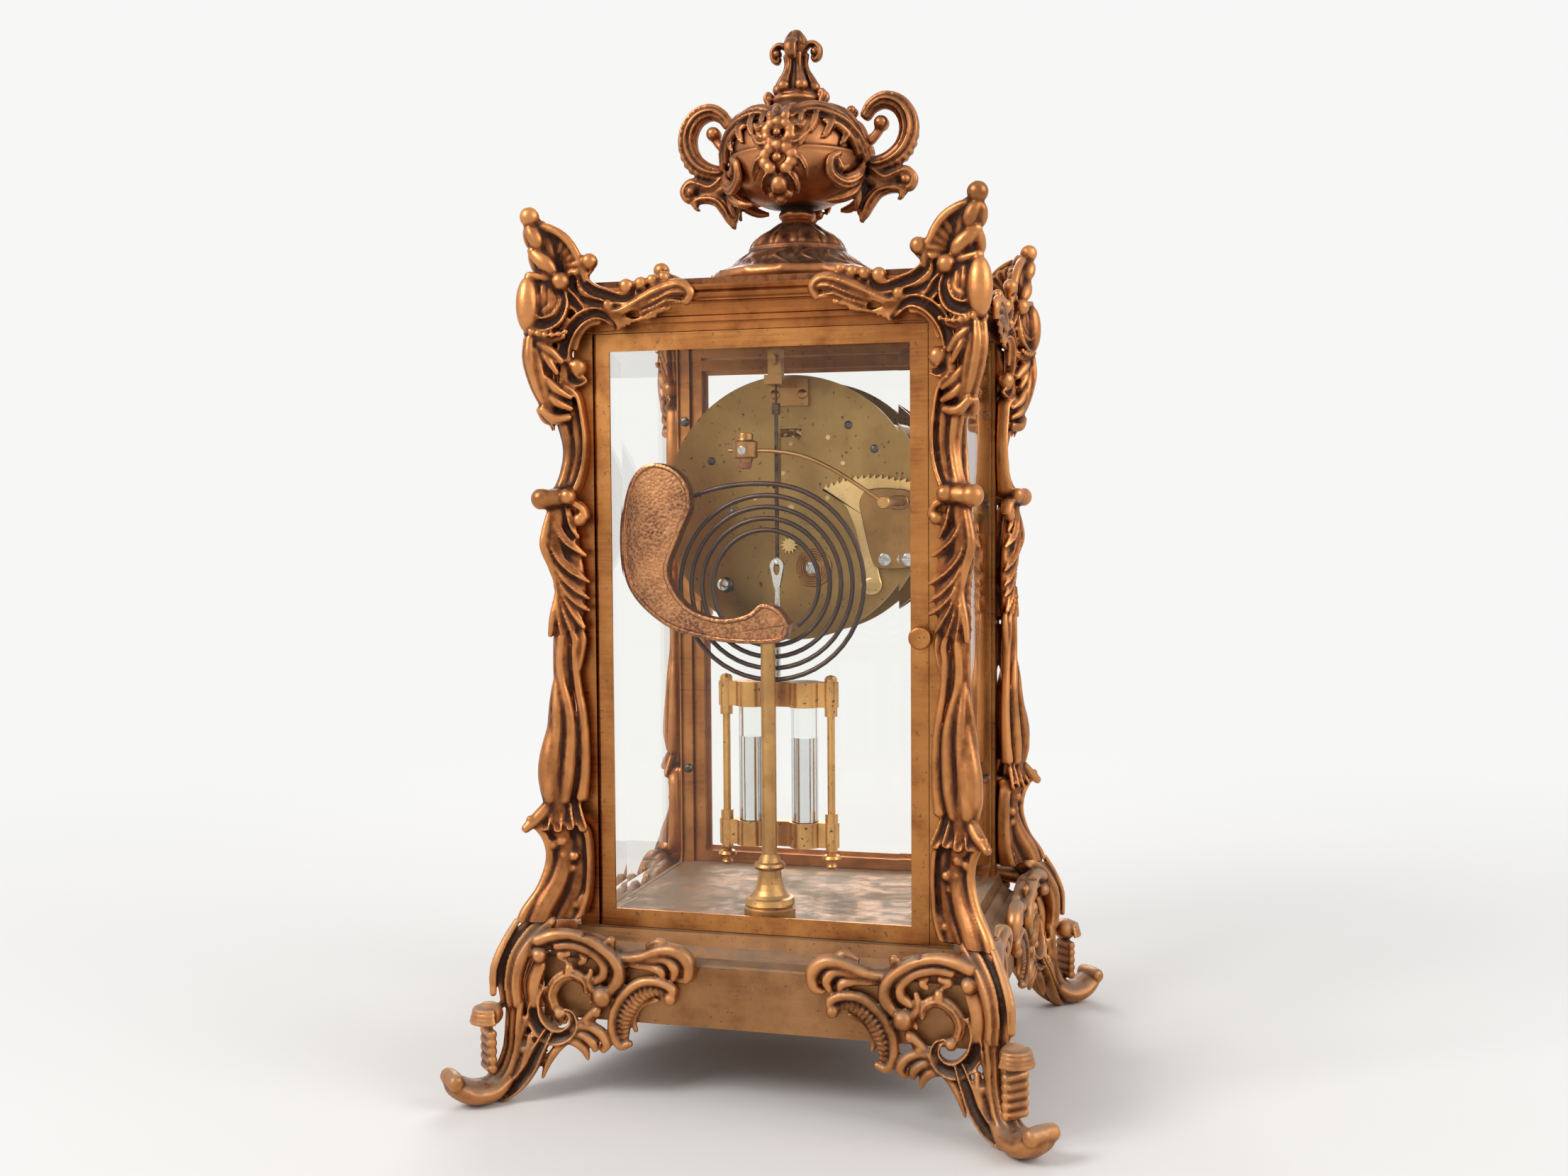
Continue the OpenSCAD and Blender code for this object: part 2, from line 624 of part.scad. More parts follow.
// Handle of one side with its swags; points are [-x, y, z, half width]
module handle_side() {
    strand([for (k = [0:6]) let (a = -150 + 50 * k)
        [-(handle_x + handle_r * cos(a)), 0, 4 + 1.15 * handle_r * sin(a), 4 - 0.2 * k]],
        flat = 1.3);
    ball(-(handle_x - 5.5), 0, 8, 4);
    strand([[-28, 0, -8, 3.4], [-38, 0, -9, 3.4], [-48, 0, -14, 3.4], [-51, 0, -20, 2]],
        flat = 1.4);
    strand([[-46, 0, -15, 2.4], [-36, 0, -20, 3.2], [-28, 0, -22, 3.4], [-28, 0, -37, 1.6]],
        flat = 1.3);
    for (s = [-1, 1]) {
        strand([[-30, 3 * s, -6, 3], [-25, 17 * s, 6, 4], [-9, 27 * s, 9, 3]],
            face = [0.6, s, 0.6]);
        strand([[-29, 6 * s, -4, 3], [-20, 23 * s, -3, 3.4], [-6, 30 * s, -1, 3]],
            face = [0.6, s, 0.1]);
    }
    for (k = [0:3]) ball(-(handle_x + (handle_r + 3) * cos(100 - 50 * k)), 0,
        4 + (handle_r * 1.1 + 3.4) * sin(100 - 50 * k), 2.8);
}

// Fruit and flower drop on the middle of a side
module flower_drop() {
    for (k = [0:4]) let (a = 72 * k + 18)
        lobe([0, bowl_r - 1, 4], [7 * cos(a), bowl_r - 1, 4 + 7 * sin(a)], 3.4, 3);
    ball(0, bowl_r + 1, 4, 3);
    lobe([0, bowl_r - 2, -5], [0, bowl_r - 8, -20], 5, 2.6);
}

module urn_handles() color(bronze) difference() {
    translate([0, 0, urn_z + bowl_mid]) {
        handle_side();
        mirror([1, 0, 0]) handle_side();
        flower_drop();
        mirror([0, 1, 0]) flower_drop();
        translate([0, 0, -bowl_mid]) rotate_extrude($fn = 24)
            polygon(concat([[bowl_r * 0.76, bowl_mid + 10.3]], [[bowl_r * 0.7, bowl_mid - 8]],
                bowl_side(-20, 39, 0.2, 4)));
    }
    translate([0, 0, urn_z]) rotate_extrude($fn = 24) polygon(concat([[0, stem_z],
        [10, stem_z], [10, bowl_z + 1]], bowl_side(-64, -22.6, urn_seat, 5),
        bowl_side(-22, 40, urn_seat - girdle_t, 5), bowl_side(40, 66, urn_seat, 3),
        [[neck_r, bowl_top - 2], [neck_r, bowl_top + 4], [0, bowl_top + 4]]));
}

finial_h = 41;

module urn_finial() color(bronze) translate([0, 0, urn_z + bowl_top]) {
    difference() {
        union() {
            rotate_extrude($fn = 16) polygon([[0, 0], [11, 0], [9, 2.6], [6.6, 5.5],
                [7.4, 8], [6, 9.4], [4, 12], [5, 16], [3.6, 21], [3, 27], [0, 27]]);
            for (k = [0:3]) rotate([0, 0, 90 * k + 45]) lobe([0, 6.4, 12], [0, 3.4, 22], 3.4, 2);
            for (k = [0:3]) rotate([0, 0, 90 * k]) {
                strand([[0, 1, 25, 2.6], [0, 6, 29.5, 2.6], [0, 9, 27.5, 2.2]],
                    face = [1, 0, 0]);
                strand([[0, 8, 1, 2.6], [0, 11.5, 6, 2.4], [0, 9.4, 10.5, 2]],
                    face = [1, 0, 0]);
            }
            for (s = [-1, 1]) lobe([s, 0, 25], [s, 0, finial_h - 2], 3.4, 2);
        }
        translate([0, 0, -1]) cylinder(h = 7, r = urn_bolt_r + 2 * fit, $fn = 32);
    }
}

// Movement
//
// Arbor places are [x, z] from the hand centre. Each wheel pair is set out by
// its tooth counts, and the middle arbors stand where two pairs meet.

mesh_gap = 0.08;
function reach(a, b, m) = m * (a + b) / 2 + mesh_gap;
function meet(p, rp, q, rq, side) = let (d = norm(q - p),
    a = (rp * rp - rq * rq + d * d) / (2 * d), h = sqrt(rp * rp - a * a), u = (q - p) / d)
    p + a * u + side * h * [-u[1], u[0]];
function heading(p, q) = atan2(q[1] - p[1], q[0] - p[0]);
function polar(r, a) = [r * cos(a), r * sin(a)];

great_teeth = 84;
great_leaves = 14;
great_m = 0.53;
mid_teeth = 60;
mid_leaves = 10;
mid_m = 0.5;
centre_teeth = 64;
third_leaves = 8;
centre_m = 0.45;
third_teeth = 60;
escape_leaves = 8;
third_m = 0.4;
escape_teeth = 30;
gather_leaves = 8;
gather_teeth = 56;
fly_leaves = 8;
gather_m = 0.42;

hub = [0, 0];
time_at = [26, -20];
strike_at = [-26, -20];
mid_at = meet(time_at, reach(great_teeth, great_leaves, great_m), hub,
    reach(mid_teeth, mid_leaves, mid_m), -1);
escape_at = [0, 29];
escape_r = 8.5;
third_at = meet(hub, reach(centre_teeth, third_leaves, centre_m), escape_at,
    reach(third_teeth, escape_leaves, third_m), -1);
verge_at = [0, 42];
pin_at = [-mid_at[0], mid_at[1]];
gather_at = pin_at + polar(reach(mid_teeth, gather_leaves, mid_m), 115);
fly_at = gather_at + polar(reach(gather_teeth, fly_leaves, gather_m), 60);

back_in = plate_y - plate_t;
front_in = back_in - plate_gap;
front_out = front_in - plate_t;
pivot_r = 1;
arbor_r = 1.4;
square_w = 3.4;
// The winding squares stay behind the dial, clear of the hands
square_in = 0.5;

// Wheel or pinion outline with straight-sided teeth, one tooth centred on turn
module teeth(n, m, turn, slim = 1) {
    r = n * m / 2;
    pitch = 360 / n;
    root = r - 1.2 * m;
    tip = r + 0.8 * m;
    wide = 0.29 * slim * pitch;
    narrow = 0.1 * slim * pitch;
    rotate(turn) polygon([for (k = [0:n - 1]) each [polar(root, k * pitch - wide),
        polar(tip, k * pitch - narrow), polar(tip, k * pitch + narrow),
        polar(root, k * pitch + wide)]]);
}

// Wheel with crossed-out arms
module crossed_wheel(n, m, turn, arms = 4) difference() {
    teeth(n, m, turn);
    difference() {
        circle(r = n * m / 2 - 1.2 * m - 1.6);
        circle(r = 3.2);
        for (k = [0:arms - 1]) rotate(360 * k / arms)
            translate([0, -0.8]) square([n * m, 1.6]);
    }
}

module wheel_at(p, y0, y1) at_movement() translate([p[0], 0, p[1]]) upright(y0, y1) children();

// Plain arbor through both plates with its two pivots
module arbor(p, y0, y1, r = arbor_r) at_movement() {
    bar_y(p, front_out, plate_y, pivot_r);
    bar_y(p, y0, y1, r);
}

great_y = back_in - 22;
barrel_len = 20;

module barrel(p, q) {
    wheel_at(p, great_y, great_y + 2.4)
        teeth(great_teeth, great_m, heading(p, q));
    at_movement() {
        bar_y(p, great_y - barrel_len, great_y + weld, barrel_r);
        bar_y(p, great_y - barrel_len - 0.8, great_y - barrel_len + weld, barrel_r * 0.55);
        bar_y(p, front_in + 0.3, back_in - 0.3, 3.4);
        bar_y(p, front_out - 1, plate_y, 2.6);
        translate([p[0] - square_w / 2, dial_face + square_in, p[1] - square_w / 2])
            cube([square_w, front_out - dial_face - square_in - 1, square_w]);
    }
}

module time_barrel() color(brass) barrel(time_at, mid_at);
module strike_barrel() color(brass) barrel(strike_at, pin_at);

mid_wheel_y = back_in - 8;
pin_wheel_y = back_in - 12.5;
centre_wheel_y = back_in - 16;
third_wheel_y = front_in + 9;
gather_wheel_y = front_in + 14;
escape_y = back_in - 4;

module great_pinion(p, from) {
    wheel_at(p, great_y - 2, great_y + 4) teeth(great_leaves, great_m,
        heading(p, from) + 180 / great_leaves, 0.86);
}

module intermediate_wheel() color(brass) {
    arbor(mid_at, front_in + 0.4, back_in - 0.4);
    great_pinion(mid_at, time_at);
    wheel_at(mid_at, mid_wheel_y, mid_wheel_y + 1.4)
        crossed_wheel(mid_teeth, mid_m, heading(mid_at, hub));
}

module centre_wheel() color(brass) {
    at_movement() {
        bar_y(hub, cannon_end, plate_y, pivot_r + 0.4);
        bar_y(hub, front_in + 0.4, back_in - 0.4, arbor_r + 0.4);
    }
    wheel_at(hub, mid_wheel_y - 2, mid_wheel_y + 3.4) teeth(mid_leaves, mid_m,
        heading(hub, mid_at) + 180 / mid_leaves, 0.84);
    wheel_at(hub, centre_wheel_y, centre_wheel_y + 1.4)
        crossed_wheel(centre_teeth, centre_m, heading(hub, third_at), 5);
    wheel_at(hub, cannon_y, cannon_y + 4) teeth(cannon_leaves, motion_m,
        heading(hub, motion_at) + 180 / cannon_leaves, 0.86);
}

module third_wheel() color(brass) {
    arbor(third_at, front_in + 0.4, back_in - 0.4, 1.2);
    wheel_at(third_at, centre_wheel_y - 2, centre_wheel_y + 3.4) teeth(third_leaves,
        centre_m, heading(third_at, hub) + 180 / third_leaves, 0.82);
    wheel_at(third_at, third_wheel_y, third_wheel_y + 1.2)
        crossed_wheel(third_teeth, third_m, heading(third_at, escape_at));
}

module escape_wheel() color(brass) {
    arbor(escape_at, front_in + 0.4, back_in - 0.4, 1);
    wheel_at(escape_at, third_wheel_y - 2, third_wheel_y + 3.2) teeth(escape_leaves,
        third_m, heading(escape_at, third_at) + 180 / escape_leaves, 0.82);
    wheel_at(escape_at, escape_y, escape_y + 1) difference() {
        polygon([for (k = [0:escape_teeth - 1]) let (a = 360 * k / escape_teeth)
            each [polar(escape_r - 2, a), polar(escape_r, a + 5), polar(escape_r - 2, a + 4.2)]]);
        difference() {
            circle(r = escape_r - 3.2);
            circle(r = 2);
            for (k = [0:3]) rotate(90 * k) translate([0, -0.6]) square([escape_r, 1.2]);
        }
    }
}

module pin_wheel() color(brass) {
    arbor(pin_at, front_in + 0.4, back_in - 0.4);
    great_pinion(pin_at, strike_at);
    wheel_at(pin_at, pin_wheel_y, pin_wheel_y + 1.4)
        crossed_wheel(mid_teeth, mid_m, heading(pin_at, gather_at));
    at_movement() for (k = [0:9])
        bar_y(pin_at + polar(13.6, 36 * k + 9), pin_wheel_y - 2, pin_wheel_y + 0.4, 0.5);
}

module gathering_wheel() color(brass) {
    arbor(gather_at, front_in + 0.4, back_in - 0.4, 1.2);
    wheel_at(gather_at, pin_wheel_y - 3, pin_wheel_y + 3.4) teeth(gather_leaves, mid_m,
        heading(gather_at, pin_at) + 180 / gather_leaves, 0.82);
    wheel_at(gather_at, gather_wheel_y, gather_wheel_y + 1.2)
        crossed_wheel(gather_teeth, gather_m, heading(gather_at, fly_at));
}

fly_half = 7;
module fly() color(brass) {
    arbor(fly_at, front_in + 0.4, back_in - 0.4, 1);
    wheel_at(fly_at, gather_wheel_y - 2, gather_wheel_y + 3.4) teeth(fly_leaves, gather_m,
        heading(fly_at, gather_at) + 180 / fly_leaves, 0.82);
    at_movement() translate([fly_at[0] - fly_half, back_in - 20, fly_at[1] - 0.35])
        cube([2 * fly_half, 16, 0.7]);
}

// Motion work between the front plate and the dial
cannon_leaves = 12;
motion_teeth = 36;
motion_m = 0.5;
motion_leaves = 10;
hour_teeth = 40;
motion_at = polar(reach(cannon_leaves, motion_teeth, motion_m), 120);
hour_m = 2 * (reach(cannon_leaves, motion_teeth, motion_m) - mesh_gap)
    / (motion_leaves + hour_teeth);
cannon_y = front_out - 6;
motion_y = front_out - 4.6;
hour_y = front_out - 9;
carrier_t = 1.2;
carrier_y = -post_y;
dial_t = 1;
dial_face = carrier_y - dial_t;
hour_hand_y = dial_face - 1;
minute_hand_y = hour_hand_y - 1.4;
hand_t = 0.5;
cannon_end = minute_hand_y - 1;
pipe_r = 3;

module motion_wheel() color(brass) {
    wheel_at(motion_at, motion_y, motion_y + 1.4) difference() {
        teeth(motion_teeth, motion_m, heading(motion_at, hub));
        circle(r = 1.2 + fit);
    }
    wheel_at(motion_at, hour_y - 1, motion_y + weld) difference() {
        teeth(motion_leaves, hour_m, heading(motion_at, hub) + 180 / motion_leaves, 0.84);
        circle(r = 1.2 + fit);
    }
}

module hand_outline(length, wide, eye) {
    difference() {
        union() {
            circle(r = eye);
            polygon([[-wide * 0.3, 0], [-wide * 0.24, length * 0.45], [-wide, length * 0.62],
                [-wide * 0.5, length * 0.74], [-wide * 0.14, length * 0.82], [0, length],
                [wide * 0.14, length * 0.82], [wide * 0.5, length * 0.74],
                [wide, length * 0.62], [wide * 0.24, length * 0.45], [wide * 0.3, 0]]);
        }
        translate([0, length * 0.64]) circle(r = wide * 0.34);
    }
}

module hour_hand() color(steel) {
    wheel_at(hub, hour_hand_y, hour_hand_y + hand_t) difference() {
        rotate(-305) hand_outline(32, 4, 4.4);
        circle(r = pipe_r - weld);
    }
    wheel_at(hub, hour_y, hour_y + 1.4) difference() {
        crossed_wheel(hour_teeth, hour_m, heading(hub, motion_at), 3);
        circle(r = pipe_r - 0.8);
    }
    wheel_at(hub, hour_hand_y, hour_y + weld) difference() {
        circle(r = pipe_r);
        circle(r = pipe_r - 0.8);
    }
    wheel_at(hub, hour_y, hour_y + 1.4) difference() {
        circle(r = 4);
        circle(r = pipe_r - 0.8);
    }
}

module minute_hand() color(steel) difference() {
    union() {
        wheel_at(hub, minute_hand_y, minute_hand_y + hand_t)
            rotate(-60) hand_outline(48, 3.2, 3.4);
        wheel_at(hub, minute_hand_y - 0.3, minute_hand_y + hand_t) circle(r = 3);
    }
    at_movement() bar_y(hub, minute_hand_y - 1, minute_hand_y + 1, pivot_r + 0.4);
}

// Movement frame

pillars = [[47, 14], [-42, 34], [12, -51], [-12, -51], [20, 46]];
pillar_r = 3;

// Holes that both plates share
module arbor_holes() {
    for (p = [mid_at, third_at, escape_at, verge_at, pin_at, gather_at, fly_at])
        translate(p) circle(r = pivot_r + fit);
    for (p = [time_at, strike_at]) translate(p) circle(r = 2.6 + fit);
    circle(r = pivot_r + 0.4 + fit);
    for (p = pillars) translate(p) circle(r = 1.8);
}

slot_w = 10.4;
slot_h = 3.8;
slot_z = 34;

module back_plate() color([0.5, 0.42, 0.22]) wheel_at(hub, back_in, plate_y) difference() {
    circle(r = plate_r);
    arbor_holes();
    translate([-slot_w / 2, slot_z - slot_h / 2]) square([slot_w, slot_h]);
    for (p = [rack_at, star_at, hammer_at]) translate(p) circle(r = stud_r + fit);
}

module front_plate() color([0.5, 0.42, 0.22]) wheel_at(hub, front_out, front_in) difference() {
    circle(r = plate_r);
    arbor_holes();
    translate(hammer_at) circle(r = stud_r + fit);
}

module plate_pillars() color(brass) at_movement() for (p = pillars) {
    bar_y(p, front_in, back_in, pillar_r);
    bar_y(p, front_in + plate_gap * 0.3, front_in + plate_gap * 0.7, pillar_r + 1);
    bar_y(p, front_out, plate_y, 1.8);
}

// Domed nuts and screws on the plates, and the motion wheel's post
module plate_nuts() color(steel) at_movement() {
    for (p = pillars) mirror([0, 1, 0]) dome_nut(p, -front_out, 3.2, 2);
    dome_nut([31.1, -35.2], plate_y, 3.6, 2.8);
    for (p = [[37.7, 21.6], [-26.9, 37], [-38.8, 26.2], [27.8, -2]])
        dome_nut(p, plate_y, 1.9, 1.1);
    bar_y([-10.3, -27.2], plate_y, plate_y + 0.8, 8.6);
    bar_y([-10.3, -27.2], plate_y, plate_y + 2.4, 3);
    bar_y(motion_at, hour_y - 2, front_out, 1.2);
}

module dome_nut(p, y, r, h) {
    translate([p[0], y, p[1]]) rotate([-90, 0, 0]) rotate_extrude()
        polygon(concat([[0, 0], [r, 0]], [for (k = [0:6])
            [r * cos(90 * k / 6), h * 0.25 + h * 0.75 * sin(90 * k / 6)]]));
}

// Dial

module dial_carrier() color(brass) {
    wheel_at(hub, carrier_y, carrier_y + carrier_t) difference() {
        union() {
            circle(r = dial_r + 3);
            translate([0.3 - pane_inner, -8]) square([2 * pane_inner - 0.6, 16]);
        }
        dial_holes();
    }
    at_movement() for (a = [90, 215, 325])
        bar_y(polar(plate_r - 9, a), carrier_y + weld, front_out, 2.2);
}

module dial_holes() {
    circle(r = pipe_r + 0.6);
    for (p = [time_at, strike_at]) translate(p) circle(r = 4);
}

module dial() color([0.9, 0.87, 0.78]) wheel_at(hub, dial_face, carrier_y) difference() {
    circle(r = dial_r);
    dial_holes();
}

module bezel() color(gilt) at_movement() translate([0, carrier_y, 0]) rotate([90, 0, 0])
    rotate_extrude() polygon(concat([[dial_r + fit, 0], [dial_r + 4, 0]],
        [for (k = [0:6]) [dial_r + 2 + 2 * cos(180 * k / 6), 0.4 + 1.8 * sin(180 * k / 6)]],
        [[dial_r + fit, 0.4]]));

// Escapement, suspension and pendulum

pallet_y = escape_y - 0.5;
crutch_z = 8;
crutch_y = escape_y + 1.7;

module pallets_crutch() color(steel) {
    arbor(verge_at, front_in + 0.4, back_in - 0.4, 1);
    wheel_at(verge_at, pallet_y, pallet_y + 2) difference() {
        union() {
            circle(r = 2.4);
            for (s = [-1, 1]) polygon([[0, 1.4], [s * 9.4, -5.6], [s * 9.6, -8.6],
                [s * 8.6, -8.4], [s * 6.6, -4.9], [0, -1.6]]);
        }
        circle(r = 0.6);
    }
    at_movement() {
        bar_y([0, verge_at[1] - crutch_z], crutch_y + 0.7, bob_y - 4, 0.8);
        bar_y([0, verge_at[1] - crutch_z], crutch_y, crutch_y + 1.4, 1.2);
        translate([-0.8, crutch_y, verge_at[1] - crutch_z]) cube([1.6, 1.4, crutch_z]);
        translate([-0.8, bob_y - 4.8, 10]) cube([1.6, 1.6, verge_at[1] - crutch_z - 10 + 0.8]);
        translate([-2.2, bob_y - 4.8, 8.6]) cube([4.4, 1.6, 1.6]);
        for (s = [-1, 1]) translate([s * 1.8 - 0.4, bob_y - 4.8, 8.6]) cube([0.8, 7, 1.6]);
    }
}

cock_z = 54;
spring_z = 50;
// Wide enough for the spring at both ends of its swing
spring_slot = 1.1;

module suspension_cock() color(steel) at_movement() {
    difference() {
        union() {
            translate([-9, plate_y, cock_z - 8]) cube([18, 3, 8]);
            translate([-4, plate_y, cock_z]) cube([8, bob_y - plate_y + 5, 4]);
            translate([-9, plate_y, cock_z - 0.4]) cube([18, 3, 4.4]);
            translate([-3, bob_y - 2.6, cock_z + 4 - weld]) cube([6, 5.2, 10]);
            bar_y([0, cock_z + 10], bob_y - 5, bob_y + 6, 1.6);
        }
        translate([-spring_slot / 2, bob_y - 1.8, cock_z - 1]) cube([spring_slot, 3.6, 8]);
    }
    for (s = [-1, 1]) dome_nut([s * 6.4, cock_z - 3], plate_y + 3, 2.2, 1.6);
}

loop_z = -30;
// Height of the bob's upper edge above the base top
bob_up = 105.5;
bob_top = bob_up - centre_up;

// Spring, rod, hook and the bright loop that carries the bob
module pendulum_rod() color(steel) at_movement() {
    translate([-0.1, bob_y - 1.5, spring_z - 5]) cube([0.2, 3, 14]);
    translate([-1.4, bob_y - 2, spring_z - 9]) cube([2.8, 4, 5]);
    translate([0, bob_y, loop_z + 6]) cylinder(h = spring_z - 8 - loop_z - 6, r = 0.9);
    translate([0, bob_y, loop_z + 6]) sphere(r = 1.6);
    difference() {
        wheel_at_bob(2.4) polygon(concat([for (k = [0:8]) [3.1 * cos(22.5 * k),
            loop_z + 4.5 + 3.4 * sin(22.5 * k)]], [[-1.2, loop_z - 5], [1.2, loop_z - 5]]));
        wheel_at_bob(4) polygon([for (k = [0:11]) [1.5 * cos(30 * k),
            loop_z + 3.4 + 3 * sin(30 * k)]]);
    }
    translate([0, bob_y, bob_top - 1]) cylinder(h = loop_z - 4 - bob_top + 1, r = 1.2);
}

module wheel_at_bob(thick) upright(bob_y - thick / 2, bob_y + thick / 2) children();

frame_h = 11;
tie_x = vial_x + 12;
tie_r = 1.7;
frame_top_z = bob_top;
frame_low_z = bob_top - frame_h - vial_len;

// Yoke with two cups and two end bosses
module bob_yoke(z) translate([0, bob_y, z - frame_h]) difference() {
    union() {
        both_sides() {
            translate([vial_x, 0, 0]) cylinder(h = frame_h, r = vial_r + 1.2);
            translate([tie_x, 0, 0]) cylinder(h = frame_h, r = 3.4);
        }
        translate([-tie_x, -2.6, 0]) cube([2 * tie_x, 5.2, frame_h]);
    }
    both_sides() translate([tie_x, 0, -1]) cylinder(h = frame_h + 2, r = tie_r);
}

module pendulum_frames() color(gilt) at_movement() difference() {
    union() {
        bob_yoke(frame_top_z);
        bob_yoke(frame_low_z);
    }
    both_sides() translate([vial_x, bob_y, frame_low_z - 2])
        cylinder(h = vial_len + 4, r = vial_r);
    translate([0, bob_y, bob_top - 1]) cylinder(h = 2, r = 1.2);
}

module mercury_vials() color([0.85, 0.88, 0.85, 0.3]) at_movement() both_sides()
    translate([vial_x, bob_y, frame_low_z - 2]) difference() {
        cylinder(h = vial_len + 4, r = vial_r);
        translate([0, 0, 1.5]) cylinder(h = vial_len + 1, r = vial_r - 1);
    }

module mercury() color([0.75, 0.75, 0.74]) at_movement() both_sides()
    translate([vial_x, bob_y, frame_low_z - 0.5]) cylinder(h = mercury_h, r = vial_r - 1);

module pendulum_tie_rods() color(gilt) at_movement() both_sides()
    translate([tie_x, bob_y, frame_low_z - frame_h]) {
        cylinder(h = 2 * frame_h + vial_len, r = tie_r);
        for (z = [frame_h, frame_h + vial_len - 4]) translate([0, 0, z])
            cylinder(h = 4, r = 2.8);
        rotate_extrude() polygon([[0, -10], [1.6, -9.6], [2.4, -8.4], [1.6, -7.2],
            [3.8, -6], [4.2, -4.8], [3.4, -3.6], [2, -3], [2.6, -1.6], [2.6, 0], [0, 0]]);
        translate([0, 0, 2 * frame_h + vial_len]) rotate_extrude()
            polygon([[0, 0], [2.8, 0], [2.8, 1.4], [2, 2.6], [0, 3.2]]);
    }

// Striking work outside the back plate

rack_at = [-37.5, -34.5];
star_at = [0.5, -16.8];
hammer_at = [-50, 2];
stud_r = 1.5;
rack_r = 49.5;
rack_teeth = 15;
rack_y = plate_y + 1;
rack_t = 1.4;

module rack() color([0.72, 0.6, 0.34]) {
    wheel_at(rack_at, rack_y, rack_y + rack_t) difference() {
        union() {
            polygon(concat([for (i = [0:rack_teeth - 1]) let (a = 113 - rack_step * i)
                each [polar(rack_r, a), polar(rack_r - 1.8, a - rack_step + 0.5)]],
                [for (k = [0:6]) polar(rack_r - 6, 113 - rack_step * rack_teeth
                    + rack_step * rack_teeth * k / 6)]));
            polygon([polar(4.6, 160), polar(rack_r - 5, 99), polar(rack_r - 5, 74),
                polar(4.6, 10)]);
            circle(r = 5);
        }
        polygon([polar(10, 104), polar(rack_r - 10, 95), polar(rack_r - 10, 78),
            polar(10, 64)]);
    }
    at_movement() bar_y(rack_at, back_in + 0.3, rack_y + rack_t + 1.6, stud_r);
    at_movement() bar_y(rack_at, plate_y + 0.3, rack_y + rack_t + 0.6, 3);
}
rack_step = 3.4;

module star_wheel() color(brass) {
    wheel_at(star_at, plate_y + 0.8, plate_y + 1.8) polygon([for (k = [0:11])
        each [polar(4.4, 30 * k), polar(2.7, 30 * k + 10), polar(2.7, 30 * k + 20)]]);
    at_movement() bar_y(star_at, back_in + 0.3, plate_y + 2.2, stud_r);
    at_movement() bar_y(star_at, plate_y + 0.3, plate_y + 1, 2.2);
}

bridge_y = rack_y + rack_t + 2;
module strike_bridge() color(steel) {
    wheel_at(hub, bridge_y, bridge_y + 1.6) difference() {
        polygon([[-36, 6], [-45, 7.5], [-45, 6], [-57, 4], [-57, -20], [-56, -26],
            [-40, -26], [-37, -10]]);
        translate(hammer_at) circle(r = 1.5 + 0.3);
    }
    at_movement() {
        bar_y([-54, -18], plate_y, bridge_y + weld, 2.2);
        for (p = [[-44, -23.5], [-52, -23.5]])
            dome_screw(p, bridge_y + 1.6, 2.5, 1.4);
    }
}

hammer_head_at = [11.4, 25];
hammer_wire_r = 0.8;

// Arbor, bent wire and the stepped head that falls on the gong
module hammer() color(brass) at_movement() {
    bar_y(hammer_at, front_out, gong_y + 1.6, stud_r);
    bar_y(hammer_at, gong_y - 2, gong_y + 2, 2.8);
    skin_tube([for (p = curve([[50, gong_y, 2, 0], [40, gong_y, 8.5, 0], [25.5, gong_y, 17.5, 0],
            [11, gong_y, 23.6, 0], [-8, gong_y, 25, 0]], 3))
        ring([-p[0], p[1], p[2]], unit([1, 0, 0.4]), [0, 1, 0], hammer_wire_r,
            hammer_wire_r, 6)]);
    translate([hammer_head_at[0], gong_y, hammer_head_at[1]]) rotate_extrude()
        polygon([[0, -8], [2.6, -8], [3, -5], [3.4, -4.6], [3.4, -3.4], [5.4, -3],
            [5.4, 4], [3.6, 4.4], [3.6, 7.6], [0, 7.6]]);
    bar_y(hammer_head_at, gong_y, gong_y + 5.9, 1.6);
}

// Gong

gong_at = [1.5, -33.4];
gong_post_x = 0.4;
gong_post_r = 3.25;
gong_foot_r = 11.2;
gong_post_y = case_d / 2 - door_t - gong_foot_r - 0.4;
gong_stud_r = 2;
bracket_back = gong_y + 2;
bracket_face = case_d / 2 - 11.4;
bracket_seat = -57.4;

// The first turn leaves the spiral and runs straight into the bracket's boss
gong_turn_at = 53;
gong_lift = 6;
gong_lift_turn = 40;
gong_end = [39.5, gong_y, 3.4];
gong_boss = [41.2, 2.8];

function gong_point(t) = let (a = gong_turn_at + t, r = gong_r - gong_pitch * t / 360
        + gong_lift * pow(max(0, 1 - t / gong_lift_turn), 2))
    [gong_at[0] + r * cos(a), gong_y, gong_at[1] + r * sin(a)];
gong_steps = 24 * gong_turns;
gong_path = concat([gong_end], [for (k = [0:gong_steps]) gong_point(360 * k / 24)]);
gong_gap = min([for (i = [0:gong_steps - 18], j = [i + 12:gong_steps])
    norm(gong_path[i] - gong_path[j])]) - 2 * wire_r;
echo(gong_coil_least_gap_mm = gong_gap);

module gong_coil() color(steel) at_movement() {
    last = len(gong_path) - 1;
    skin_tube([for (i = [0:last]) ring(gong_path[i],
        unit(gong_path[min(i + 1, last)] - gong_path[max(i - 1, 0)]), [0, 1, 0],
        wire_r, wire_r, 6)]);
}

